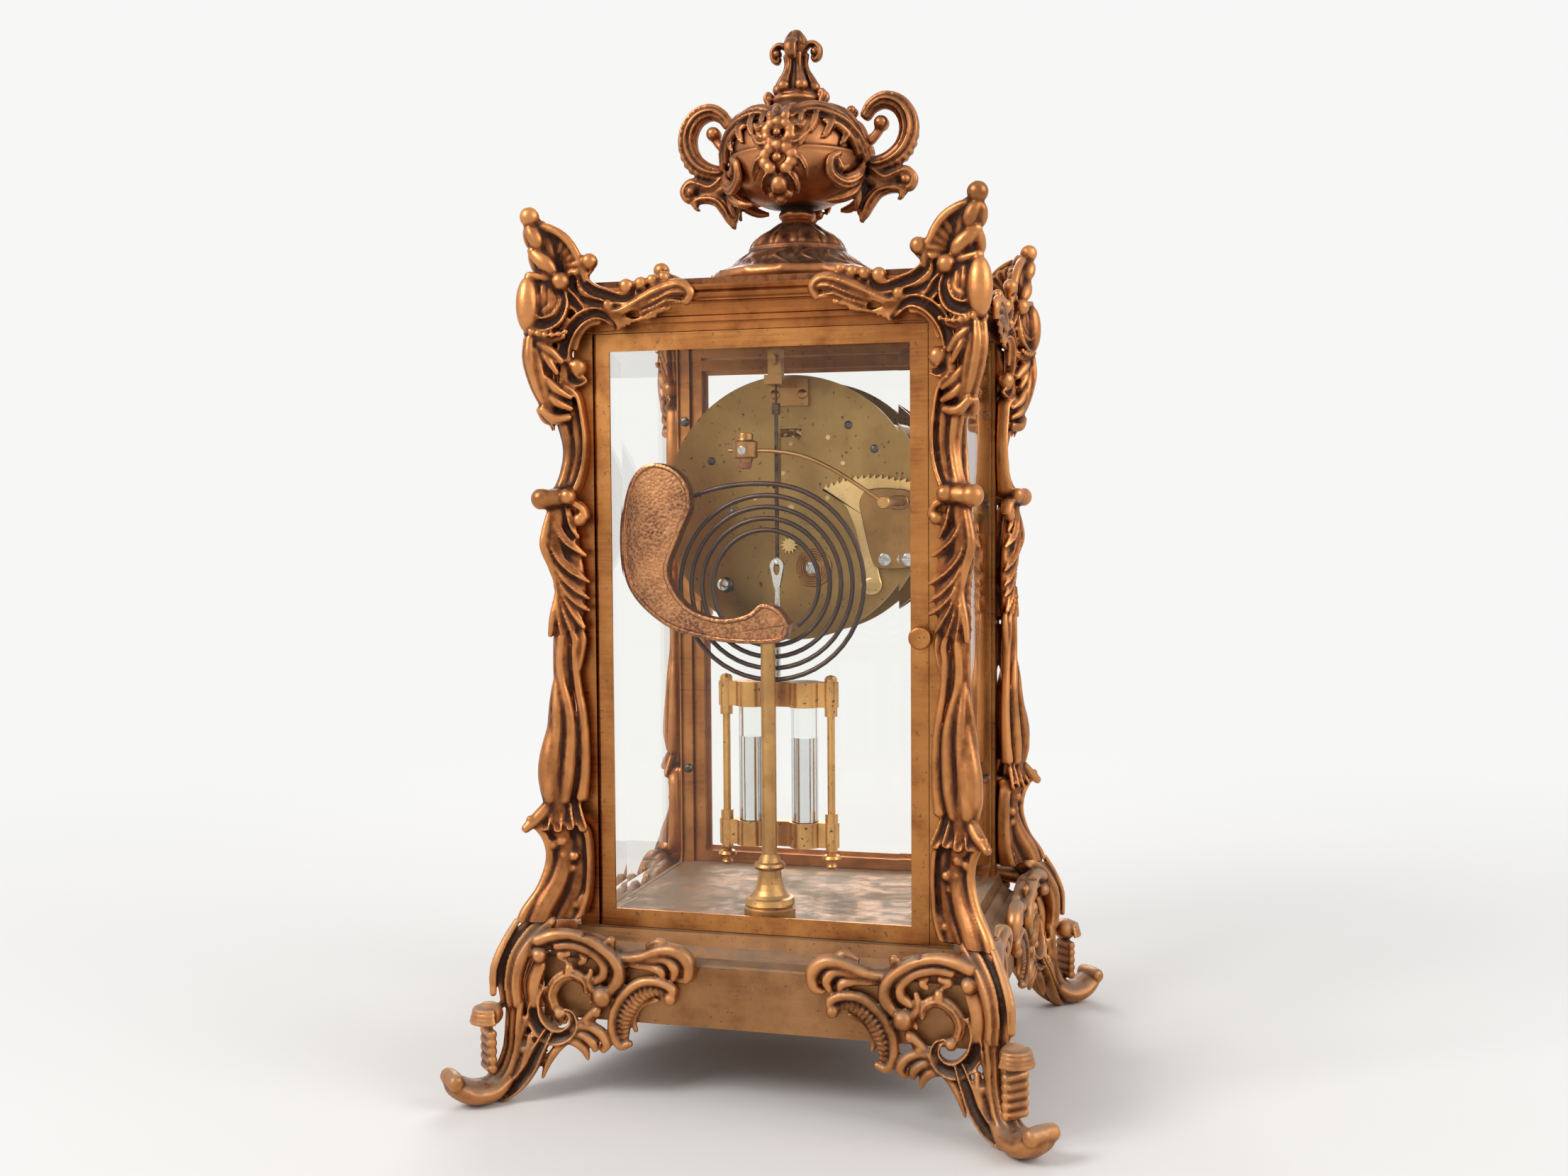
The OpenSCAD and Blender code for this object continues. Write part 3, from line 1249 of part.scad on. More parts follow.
// Outline of the comma-shaped bracket, [x, z] from the hand centre
bracket_points = [[-10.5, -50], [-6, -43.5], [1.5, -41], [9, -46], [22, -47.6], [36, -42],
    [44.2, -28], [39, -12], [33.4, 2], [38, 15], [51, 20], [61, 12], [65.5, -10],
    [62.5, -34], [47, -50], [28, -56.5], [8, -58.4], [-7, -57]];
function closed(p, steps) = let (n = len(p)) [for (i = [0:n - 1], k = [0:steps - 1])
    curve_at(p[(i + n - 1) % n], p[i], p[(i + 1) % n], p[(i + 2) % n], k / steps)];
function inset(p, d) = let (n = len(p)) [for (i = [0:n - 1])
    let (t = unit(p[(i + 1) % n] - p[(i + n - 1) % n])) p[i] + d * [t[1], -t[0]]];
bracket_outline = closed(bracket_points, 3);

module gong_bracket() color(bronze) difference() {
    union() {
        difference() {
            wheel_at(hub, bracket_back, bracket_face) polygon(bracket_outline);
            wheel_at(hub, bracket_back - 1, bracket_face - 2.4)
                polygon(inset(bracket_outline, 2));
        }
        at_movement() bar_y(gong_boss, gong_y - 2.4, bracket_face - 2.4 + weld, 3);
    }
    wheel_at(hub, bracket_face - 0.8, bracket_face + 1) polygon(inset(bracket_outline, 1.8));
    at_movement() {
        run = gong_path[1] - gong_end;
        translate(gong_end) rotate([0, atan2(run[0], run[2]), 0]) translate([0, 0, -fit])
            cylinder(h = 8, r = wire_r + fit);
        translate([gong_post_x - gong_post_r - 0.3, bracket_back - 1, bracket_seat - 5])
            cube([2 * gong_post_r + 0.6, bracket_face - bracket_back + 2, 5]);
        translate([gong_post_x, gong_post_y, bracket_seat - 1]) cylinder(h = 5, r = 1.2 + fit);
    }
}

module gong_post() color(brass) translate([gong_post_x, gong_post_y, 0]) {
    translate([0, 0, base_top]) rotate_extrude() polygon(concat(
        [[0, 0], [gong_foot_r, 0], [gong_foot_r, 8.6], [10.4, 9.2], [11, 10.4],
            [10.6, 11.8]],
        [for (k = [0:6]) [5 + 5.4 * (1 - sin(90 * k / 6)), 12.6 + 12 * (1 - cos(90 * k / 6))]],
        [[6.4, 25.2], [7, 26.4], [6.4, 27.6], [5, 28.2], [4.4, 30], [gong_post_r, 31.5],
            [gong_post_r, post_up], [1.2, post_up], [1.2, post_up + 2.8], [0, post_up + 2.8]]));
    translate([0, 0, base_top - base_floor_t - 3]) cylinder(h = base_floor_t + 4,
        r = gong_stud_r);
    translate([0, 0, base_top - base_floor_t - 3]) cylinder(h = 2.8, r = 4.5);
}
post_up = centre_up + bracket_seat - 0.05;

base_plinth();
corner_posts();
cornice();
top_plate();
side_glasses();
door_hinge_pins();
back_door_frame();
back_door_glass();
back_door_latch();
front_door_frame();
front_door_glass();
front_door_latch();
casting_back_left();
casting_back_right();
casting_front_left();
casting_front_right();
foot_back_left();
foot_back_right();
foot_front_left();
foot_front_right();
case_screws();
urn_socle();
urn_body();
urn_bolt();
urn_handles();
urn_finial();
dial_carrier();
dial();
bezel();
hour_hand();
minute_hand();
motion_wheel();
front_plate();
back_plate();
plate_pillars();
plate_nuts();
time_barrel();
intermediate_wheel();
centre_wheel();
third_wheel();
escape_wheel();
pallets_crutch();
suspension_cock();
pendulum_rod();
pendulum_frames();
pendulum_tie_rods();
mercury_vials();
mercury();
strike_barrel();
pin_wheel();
gathering_wheel();
fly();
rack();
star_wheel();
strike_bridge();
hammer();
gong_post();
gong_bracket();
gong_coil();
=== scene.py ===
import json
import math

import bmesh
import bpy
import numpy as np
from mathutils import Matrix, Vector


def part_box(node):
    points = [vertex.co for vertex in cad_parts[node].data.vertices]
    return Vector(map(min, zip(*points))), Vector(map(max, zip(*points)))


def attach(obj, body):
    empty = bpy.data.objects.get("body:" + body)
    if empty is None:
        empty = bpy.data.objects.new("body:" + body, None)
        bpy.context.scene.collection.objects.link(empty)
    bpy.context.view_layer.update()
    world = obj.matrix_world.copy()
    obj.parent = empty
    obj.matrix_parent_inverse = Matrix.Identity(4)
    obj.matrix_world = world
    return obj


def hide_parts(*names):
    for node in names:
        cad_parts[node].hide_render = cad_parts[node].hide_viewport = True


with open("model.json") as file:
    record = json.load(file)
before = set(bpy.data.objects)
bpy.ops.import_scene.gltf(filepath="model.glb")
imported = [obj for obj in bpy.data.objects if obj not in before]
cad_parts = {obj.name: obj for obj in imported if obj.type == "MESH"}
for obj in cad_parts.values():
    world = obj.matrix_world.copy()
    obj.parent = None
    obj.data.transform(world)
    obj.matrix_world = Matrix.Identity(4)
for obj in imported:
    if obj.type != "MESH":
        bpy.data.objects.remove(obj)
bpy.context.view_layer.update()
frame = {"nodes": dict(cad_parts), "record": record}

MM = 0.001

# The case, read from the frame in millimetres
post_lo, post_hi = (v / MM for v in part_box("corner_posts"))
CASE_X, CASE_Y = post_hi.x, post_hi.y
BASE_TOP, CASE_TOP = post_lo.z, post_hi.z
URN_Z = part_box("top_plate")[1].z / MM
back_lo, back_hi = (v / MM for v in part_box("back_plate"))
CENTRE_Z = (back_lo.z + back_hi.z) / 2
PLATE_BACK = back_hi.y

# Relief of a casting: rounds of smoothing and the height in metres that counts as full
RELIEF = "relief"
FINE_RELIEF = (10, 0.00022)
BROAD_RELIEF = (60, 0.0009)


def relief_of(mesh, rounds, depth):
    """How far each point stands above (1) or below (-1) its smoothed surroundings."""
    count = len(mesh.vertices)
    at, out = np.zeros(count * 3), np.zeros(count * 3)
    mesh.vertices.foreach_get("co", at)
    mesh.vertex_normals.foreach_get("vector", out)
    at, out = at.reshape(-1, 3), out.reshape(-1, 3)
    ends = np.zeros(len(mesh.edges) * 2, int)
    mesh.edges.foreach_get("vertices", ends)
    a, b = np.concatenate([ends[::2], ends[1::2]]), np.concatenate([ends[1::2], ends[::2]])
    near = np.maximum(np.bincount(a, minlength=count), 1)
    soft = at.copy()
    for _ in range(rounds):
        soft = np.stack([np.bincount(a, soft[b, k], count) / near for k in range(3)], 1)
    return np.clip(((at - soft) * out).sum(axis=1) / depth, -1, 1)


def link_new(name, data):
    """An object of the scene for a mesh, a light or the camera."""
    obj = bpy.data.objects.new(name, data)
    bpy.context.scene.collection.objects.link(obj)
    return obj


def make_object(name, verts, faces, material, body, hides=(), cast=False):
    """A mesh from millimetre points, riding on a body of the frame."""
    mesh = bpy.data.meshes.new(name)
    mesh.from_pydata([tuple(c * MM for c in v) for v in verts], [], faces)
    mesh.polygons.foreach_set("use_smooth", [True] * len(mesh.polygons))
    if cast:
        # The relief lets cast metal show wear on its high points and painted shade in its hollows
        high = 0.5 * (relief_of(mesh, *FINE_RELIEF) + relief_of(mesh, *BROAD_RELIEF))
        mesh.attributes.new(RELIEF, "FLOAT", "POINT").data.foreach_set("value", high)
    mesh.materials.append(material)
    mesh.update()
    obj = link_new(name, mesh)
    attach(obj, body)
    if hides:
        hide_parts(*hides)
    return obj


def around(sides):
    """Evenly spaced angles of a full turn."""
    return [2 * math.pi * k / sides for k in range(sides)]


class Clay:
    """Collects closed shapes as points and faces before they are cast."""

    def __init__(self):
        self.verts = []
        self.faces = []
        # How far out the plane of a corner drawing stands, where its h is 0
        self.plane = 0

    def add(self, verts, faces):
        start = len(self.verts)
        self.verts += [tuple(v) for v in verts]
        self.faces += [tuple(start + i for i in f) for f in faces]

    def grid(self, rings):
        """Skin over closed rings of equal length, capped at both ends."""
        n, last = len(rings[0]), len(rings) - 1
        faces = [(i * n + k, i * n + (k + 1) % n, (i + 1) * n + (k + 1) % n, (i + 1) * n + k)
                 for i in range(last) for k in range(n)]
        faces.append(tuple(range(n - 1, -1, -1)))
        faces.append(tuple(last * n + k for k in range(n)))
        self.add([p for r in rings for p in r], faces)

    def ball(self, centre, radius, squash=(1, 1, 1), sides=18):
        """Ball, or an egg where squash scales its three axes."""
        rings = []
        for i in range(1, sides // 2):
            t = math.pi * i / (sides // 2)
            rings.append([(centre[0] + squash[0] * radius * math.sin(t) * math.cos(a),
                           centre[1] + squash[1] * radius * math.sin(t) * math.sin(a),
                           centre[2] - squash[2] * radius * math.cos(t))
                          for a in around(sides)])
        self.grid(rings)

    def lathe(self, outline, sides, wave=None):
        """Turned closed outline of (radius, height); wave(angle, radius, height) swells it."""
        rings = []
        for a in around(sides):
            swell = [(r + (wave(a, r, z) if wave else 0), z) for r, z in outline]
            rings.append([(r * math.cos(a), r * math.sin(a), z) for r, z in swell])
        n = len(outline)
        faces = [(k * n + i, ((k + 1) % sides) * n + i, ((k + 1) % sides) * n + (i + 1) % n,
                  k * n + (i + 1) % n) for k in range(sides) for i in range(n)]
        self.add([p for r in rings for p in r], faces)


def spline(points, steps):
    """Catmull-Rom curve through rows of numbers."""
    p = np.array(points, float)
    p = np.vstack([2 * p[0] - p[1], p, 2 * p[-1] - p[-2]])
    out = []
    for i in range(1, len(p) - 2):
        a, b, c, d = p[i - 1:i + 3]
        for k in range(steps):
            t = k / steps
            out.append(0.5 * (2 * b + (c - a) * t + (2 * a - 5 * b + 4 * c - d) * t * t
                              + (3 * b - a - 3 * c + d) * t ** 3))
    out.append(p[-2])
    return np.array(out)


def closed_section(points, count=28):
    """Cross-section through (across, outwards) points, both in half widths."""
    ring = spline(points + [points[0]], 8)[:-1]
    pick = np.linspace(0, len(ring), count, endpoint=False).astype(int)
    return ring[pick]


ROUND = closed_section([(1, 0), (0.7, 0.7), (0, 1), (-0.7, 0.7), (-1, 0), (-0.7, -0.7),
                        (0, -1), (0.7, -0.7)], 18)
CHANNEL = closed_section([(1, -0.3), (1.02, 0.45), (0.84, 0.85), (0.62, 0.6), (0.4, 0.2),
                          (0, 0.08), (-0.4, 0.2), (-0.62, 0.6), (-0.84, 0.85), (-1.02, 0.45),
                          (-1, -0.3), (-0.5, -0.8), (0.5, -0.8)])
RIBBED = closed_section([(1, -0.35), (0.98, 0.2), (0.78, 0.5), (0.56, 0.28), (0.3, 0.72),
                         (0, 0.86), (-0.2, 0.4), (-0.5, 0.62), (-0.72, 0.2), (-0.95, 0.2),
                         (-1, -0.35), (-0.4, -0.7), (0.4, -0.7)])
BLADE = closed_section([(1, -0.1), (0.6, 0.16), (0.26, 0.34), (0, 0.78), (-0.26, 0.34),
                        (-0.6, 0.16), (-1, -0.1), (-0.5, -0.45), (0, -0.55), (0.5, -0.45)])


# Ways that a stroke can face: out from a corner's edge, across it, up, or away from the axis
OUT = (0.7071, 0.7071, 0)
ACROSS = (0.7071, -0.7071, 0)
UP = (0, 0, 1)
RADIAL = "radial"
LEAST_WIDTH = 0.25
END_DOME = 0.7
VEIN_SLANT = 0.4


def sweep(clay, points, section=ROUND, face=(0, 1, 0), steps=7, flat=1.0, veins=0,
          vein_depth=0.0, round_ends=True):
    """Sweeps a section through (u, h, z, half width) points of a corner drawing.

    flat scales its height, and veins runs ridges across it that lean back."""
    rows = spline([(u, h + clay.plane, z, w) for u, h, z, w in points], steps)
    centre = np.stack([-rows[:, 0], rows[:, 1], rows[:, 2]], 1)
    width = np.maximum(rows[:, 3], LEAST_WIDTH)
    tangent = np.gradient(centre, axis=0)
    tangent /= np.linalg.norm(tangent, axis=1)[:, None]
    normal = np.array(face, float) if face is not RADIAL else centre * (1, 1, 0)
    side = np.cross(tangent, normal)
    side /= np.linalg.norm(side, axis=1)[:, None]
    up = np.cross(side, tangent)
    length = np.concatenate([[0], np.cumsum(np.linalg.norm(np.diff(centre, axis=0), axis=1))])
    along = length / length[-1]
    rings = []
    for i, w in enumerate(width):
        ring = []
        for a, b in section:
            lift = 0.0
            if veins and b > -0.3:
                wave = math.cos(2 * math.pi * veins * (along[i] + VEIN_SLANT * abs(a) / veins))
                lift = vein_depth * wave * min(1, abs(a) * 2)
            ring.append(tuple(centre[i] + side[i] * a * w + up[i] * (b * flat + lift) * w))
        rings.append(ring)
    if round_ends:
        rings = domed(rings, centre, width, tangent)
    clay.grid(rings)


def domed(rings, centre, width, tangent):
    """Adds two shrinking rings beyond each end of a sweep."""
    for end, step in ((0, 1), (-1, -1)):
        caps = []
        for quarter in (math.pi / 6, math.pi / 3):
            away = -tangent[end] * step * width[end] * END_DOME * math.sin(quarter)
            caps.append([tuple(centre[end] + (p - centre[end]) * math.cos(quarter) + away)
                         for p in np.array(rings[end])])
        rings = caps[::-1] + rings if step == 1 else rings + caps
    return rings


def strokes(clay, rows, **kw):
    for row in rows:
        sweep(clay, row, **kw)


def ridges(clay, rows, face=OUT, **kw):
    """Strokes of (distance, z, half width) on the diagonal over a corner's edge."""
    strokes(clay, [[(-d, d, z, w) for d, z, w in row] for row in rows], face=face, **kw)


def bead(clay, u, h, z, r, squash=(1, 1, 1)):
    clay.ball((-u, h + clay.plane, z), r, squash)


def shell(clay, hub, turn, inner, rim, flutes):
    """Fan of flutes about hub [u, h, z]; turn runs in degrees from inwards towards up.

    rim gives the outer radius from 0 at the fan's start to 1 at its end."""
    slices, rows, thick, dome, ripple = flutes * 8, 14, 5, 3.2, 1.5
    top, low = [], []
    for i in range(slices + 1):
        t = i / slices
        a = math.radians(turn[0] + (turn[1] - turn[0]) * t)
        flute = abs(math.sin(math.pi * flutes * t))
        for j in range(rows + 1):
            q = j / rows
            r = inner + (rim(t) * (0.93 + 0.07 * flute) - inner) * q
            h = dome * math.sin(math.pi * min(q, 0.8) * 0.62) + ripple * flute * (0.15 + 0.85 * q)
            x, z = -hub[0] - r * math.cos(a), hub[2] + r * math.sin(a)
            top.append((x, hub[1] + h, z))
            low.append((x, hub[1] + h - thick, z))
    m, off = rows + 1, len(top)
    faces = []
    for i in range(slices):
        for j in range(rows):
            a, b, c, d = i * m + j, i * m + j + 1, (i + 1) * m + j + 1, (i + 1) * m + j
            faces.append((a, b, c, d))
            faces.append((off + d, off + c, off + b, off + a))
    edge = ([i * m for i in range(slices + 1)] + [slices * m + j for j in range(1, m)]
            + [i * m + rows for i in range(slices - 1, -1, -1)] + list(range(rows - 1, 0, -1)))
    for e, f in zip(edge, edge[1:] + edge[:1]):
        faces.append((e, f, off + f, off + e))
    clay.add(top + low, faces)


def mirrored(clay):
    """Adds the same work on the second face, across the corner's diagonal."""
    clay.add([(y, x, z) for x, y, z in clay.verts], [f[::-1] for f in clay.faces])


def fuse(clay, voxel):
    """Melts the overlapping shapes of a casting into one skin."""
    mesh = bpy.data.meshes.new("fuse")
    mesh.from_pydata(clay.verts, [], clay.faces)
    mesh.update()
    bm = bmesh.new()
    bm.from_mesh(mesh)
    bmesh.ops.recalc_face_normals(bm, faces=bm.faces)
    bm.to_mesh(mesh)
    bm.free()
    obj = link_new("fuse", mesh)
    melt = obj.modifiers.new("melt", "REMESH")
    melt.mode = "VOXEL"
    melt.voxel_size = voxel
    relax = obj.modifiers.new("relax", "SMOOTH")
    relax.factor = 0.5
    relax.iterations = 2
    bpy.context.view_layer.update()
    melted = obj.evaluated_get(bpy.context.evaluated_depsgraph_get())
    done = melted.to_mesh()
    verts = np.zeros(len(done.vertices) * 3)
    done.vertices.foreach_get("co", verts)
    faces = [tuple(p.vertices) for p in done.polygons]
    melted.to_mesh_clear()
    bpy.data.objects.remove(obj)
    bpy.data.meshes.remove(mesh)
    return verts.reshape(-1, 3), faces


# Materials


class Shade:
    """Short way to build a procedural material."""

    def __init__(self, name):
        self.mat = bpy.data.materials.new(name)
        self.mat.use_nodes = True
        self.tree = self.mat.node_tree
        self.tree.nodes.clear()
        self.out = self.node("ShaderNodeOutputMaterial")
        self.coord = self.node("ShaderNodeTexCoord").outputs["Object"]

    def node(self, kind, **values):
        n = self.tree.nodes.new(kind)
        for key, value in values.items():
            if hasattr(n, key):
                setattr(n, key, value)
            else:
                n.inputs[key.replace("_", " ")].default_value = value
        return n

    def link(self, a, b):
        self.tree.links.new(a, b)

    def stretched(self, scale):
        n = self.node("ShaderNodeMapping", Scale=scale)
        self.link(self.coord, n.inputs["Vector"])
        return n.outputs["Vector"]

    def noise(self, scale, detail=4.0, rough=0.55, vector=None):
        n = self.node("ShaderNodeTexNoise", Scale=scale, Detail=detail, Roughness=rough)
        self.link(vector or self.coord, n.inputs["Vector"])
        return n.outputs["Fac"]

    def grey(self, fac, low, high, a=0.0, b=1.0):
        """fac from low..high mapped on to a..b."""
        n = self.node("ShaderNodeMapRange", From_Min=low, From_Max=high, To_Min=a, To_Max=b)
        self.link(fac, n.inputs["Value"])
        return n.outputs["Result"]

    def math(self, operation, a, b):
        n = self.node("ShaderNodeMath", operation=operation,
                      use_clamp=operation in ("ADD", "MULTIPLY", "SUBTRACT"))
        for i, v in enumerate((a, b)):
            if isinstance(v, (int, float)):
                n.inputs[i].default_value = v
            else:
                self.link(v, n.inputs[i])
        return n.outputs[0]

    def mix(self, fac, a, b):
        n = self.node("ShaderNodeMix", data_type="RGBA")
        for sock, v in ((n.inputs["Factor"], fac), (n.inputs[6], a), (n.inputs[7], b)):
            if isinstance(v, (int, float)):
                sock.default_value = v
            elif isinstance(v, tuple):
                sock.default_value = v + (1,)
            else:
                self.link(v, sock)
        return n.outputs[2]

    def bump(self, height, strength, distance):
        n = self.node("ShaderNodeBump", Strength=strength, Distance=distance)
        self.link(height, n.inputs["Height"])
        return n.outputs["Normal"]

    def cells(self, scale):
        n = self.node("ShaderNodeTexVoronoi", Scale=scale)
        self.link(self.coord, n.inputs["Vector"])
        return n.outputs["Distance"]

    def axis_z(self, what):
        """Height of a place, or how far a surface faces up."""
        n = self.node("ShaderNodeSeparateXYZ")
        self.link(self.node("ShaderNodeNewGeometry").outputs[what], n.inputs[0])
        return n.outputs["Z"]

    def dusted(self, tone, metallic, roughness, amount, colour, least, patches):
        """Dust on what faces up more than least; patches is (scale, low, high) of its noise."""
        scale, low, high = patches
        lies = self.math("MULTIPLY", self.grey(self.axis_z("Normal"), least, 0.9), amount)
        lies = self.math("MULTIPLY", lies, self.grey(self.noise(scale, 6, 0.7), low, high))
        return (self.mix(lies, tone, colour), self.math("SUBTRACT", metallic, lies),
                self.math("ADD", roughness, self.math("MULTIPLY", lies, 0.4)))

    def blend(self, fac, first, second):
        """Shows one of two shaders by the factor."""
        n = self.node("ShaderNodeMixShader")
        for sock, v in zip(n.inputs, (fac, first.outputs[0], second.outputs[0])):
            self.link(v, sock)
        self.link(n.outputs[0], self.out.inputs["Surface"])
        return self.mat

    def finish(self, colour, rough, metallic=1.0, normal=None, **extra):
        n = self.node("ShaderNodeBsdfPrincipled")
        for key, v in (("Base Color", colour), ("Roughness", rough), ("Metallic", metallic),
                       ("Normal", normal)):
            if v is None:
                continue
            if isinstance(v, (int, float)):
                n.inputs[key].default_value = v
            else:
                self.link(v, n.inputs[key])
        for key, v in extra.items():
            n.inputs[key.replace("_", " ")].default_value = v
        self.link(n.outputs[0], self.out.inputs["Surface"])
        return self.mat


DUST = (0.2, 0.17, 0.13)
SPECK = (0.09, 0.07, 0.05)


def cast_metal(name, dark_and_shade, body, worn, dust, dust_colour=DUST):
    """Old cast metal: painted shade darkens its hollows, and it is rubbed bright on its high points."""
    m = Shade(name)
    patch = m.noise(38, 5)
    fine = m.noise(260, 6, 0.6)
    high = m.node("ShaderNodeAttribute", attribute_name=RELIEF).outputs["Fac"]
    edge = m.math("MULTIPLY", m.grey(high, 0.22, 1.05), m.grey(patch, 0.3, 0.62, 0.3, 1))
    # Painted shade: the deeper a point lies in a hollow of the relief, the darker its tone, standing in
    # for the shade that falls in the recesses
    painted_shade_hollows = m.grey(high, -0.04, -0.85)
    tone = m.mix(m.grey(patch, 0.32, 0.68), dark_and_shade, body)
    tone = m.mix(m.grey(fine, 0.35, 0.7, 0, 0.3), tone, worn)
    tone = m.mix(edge, tone, worn)
    # The painted shade itself: hollows take the dark tone made darker still
    tone = m.mix(painted_shade_hollows, tone, tuple(c * 0.35 for c in dark_and_shade))
    metallic = m.math("SUBTRACT", 1.0, m.math("MULTIPLY", painted_shade_hollows, 0.4))
    roughness = m.math("ADD", m.grey(fine, 0.3, 0.7, 0.26, 0.5), m.math("MULTIPLY", painted_shade_hollows, 0.3))
    tone, metallic, roughness = m.dusted(tone, metallic, roughness, dust, dust_colour, 0.1,
                                         (120, 0.3, 0.62))
    return m.finish(tone, roughness, metallic, m.bump(m.noise(900, 5, 0.6), 0.16, 0.0004))


def sheet_metal(name, a, b, stain, rough=(0.24, 0.42), grain=(40, 40, 900), stained=0.5,
                specks=0.0, dust=0.0):
    """Rolled or filed metal: fine grain one way, stains, specks and dust."""
    m = Shade(name)
    patch = m.noise(22, 6, 0.6)
    streak = m.noise(1, 5, 0.6, m.stretched(grain))
    tone = m.mix(m.grey(patch, 0.34, 0.66), a, b)
    tone = m.mix(m.grey(m.noise(60, 6, 0.65), 0.46, 0.66, 0, stained), tone, stain)
    tone = m.mix(m.grey(streak, 0.35, 0.65, 0, 0.3), tone, b)
    roughness = m.math("ADD", m.grey(streak, 0.3, 0.7, rough[0], rough[1]),
                       m.grey(patch, 0.4, 0.7, 0, 0.12))
    metallic = 1.0
    if specks:
        spot = m.grey(m.noise(520, 2, 0.5), 0.66, 0.72, 0, specks)
        tone = m.mix(spot, tone, SPECK)
        roughness = m.math("ADD", roughness, m.math("MULTIPLY", spot, 0.3))
    if dust:
        tone, metallic, roughness = m.dusted(tone, metallic, roughness, dust, DUST, 0.2,
                                             (90, 0.3, 0.6))
    return m.finish(tone, roughness, metallic, m.bump(streak, 0.1, 0.0002))


def clear_glass(name, tint, smear):
    """Glass with smudges, which lets shadow and diffuse light straight through."""
    m = Shade(name)
    glass = m.node("ShaderNodeBsdfPrincipled", Base_Color=tint + (1,), IOR=1.25,
                   Transmission_Weight=1.0)
    m.link(m.grey(m.noise(30, 6, 0.7), 0.45, 0.75, 0.0, smear), glass.inputs["Roughness"])
    through = m.node("ShaderNodeBsdfTransparent", Color=tint + (1,))
    path = m.node("ShaderNodeLightPath").outputs
    return m.blend(m.math("MAXIMUM", path["Is Shadow Ray"], path["Is Diffuse Ray"]), glass, through)


def hammered():
    """Cast bracket with fine hammer marks."""
    m = Shade("gong_bronze")
    marks = m.cells(800)
    tone = m.mix(m.grey(m.noise(40, 5), 0.38, 0.6), (0.17, 0.055, 0.022), (0.46, 0.19, 0.075))
    tone = m.mix(m.grey(marks, 0.3, 0.8, 0, 0.5), tone, (0.66, 0.34, 0.15))
    tone = m.mix(m.grey(m.noise(600, 5, 0.7), 0.55, 0.68, 0, 0.6), tone, (0.09, 0.03, 0.014))
    return m.finish(tone, m.grey(m.noise(200, 4), 0.3, 0.7, 0.28, 0.45), 1.0,
                    m.bump(marks, 0.45, 0.0004))


def enamel():
    """White fired glaze, a little yellowed."""
    m = Shade("enamel")
    tone = m.mix(m.grey(m.noise(14, 6), 0.4, 0.7, 0, 0.3), (0.84, 0.8, 0.7), (0.72, 0.66, 0.54))
    return m.finish(tone, m.grey(m.noise(80, 4), 0.3, 0.7, 0.14, 0.22), 0.0,
                    Coat_Weight=0.6, Coat_Roughness=0.06)


def leather():
    """Tip of the hammer."""
    m = Shade("leather")
    tone = m.mix(m.grey(m.noise(300, 5), 0.35, 0.65), (0.16, 0.045, 0.02), (0.34, 0.11, 0.05))
    return m.finish(tone, 0.6, 0.0, m.bump(m.cells(2600), 0.5, 0.0002))


def rod_steel(bright_below):
    """Browned steel rod whose hook, below the height given in metres, is bare and bright."""
    m = Shade("rod_steel")
    bare = m.grey(m.axis_z("Position"), bright_below + 0.001, bright_below)
    brown = m.mix(m.grey(m.noise(200, 5), 0.35, 0.65), (0.05, 0.032, 0.024), (0.14, 0.085, 0.055))
    tone = m.mix(bare, brown, (0.6, 0.57, 0.52))
    return m.finish(tone, m.grey(m.noise(300, 4), 0.3, 0.7, 0.18, 0.34))


def black_paint():
    """Figures and dots of the dial."""
    m = Shade("black_paint")
    tone = m.mix(m.grey(m.noise(150, 5), 0.35, 0.65), (0.012, 0.011, 0.01), (0.04, 0.034, 0.03))
    return m.finish(tone, m.grey(m.noise(400, 4), 0.3, 0.7, 0.22, 0.4), 0.0)


# Cast metals: dark tone of patches and, darker still, of the painted shade in the hollows; tone of the
# body, on the worn edges, and how dusty
CAST = {
    "gilt_bronze": ((0.1, 0.027, 0.01), (0.27, 0.082, 0.025), (0.68, 0.29, 0.1), 0.16),
    "foot_bronze": ((0.1, 0.03, 0.011), (0.27, 0.09, 0.03), (0.68, 0.31, 0.115), 0.85,
                    (0.27, 0.2, 0.14)),
    "dark_bronze": ((0.055, 0.02, 0.01), (0.18, 0.064, 0.026), (0.46, 0.2, 0.085), 0.35),
    "urn_bronze": ((0.055, 0.017, 0.008), (0.19, 0.06, 0.021), (0.54, 0.22, 0.085), 0.25),
}
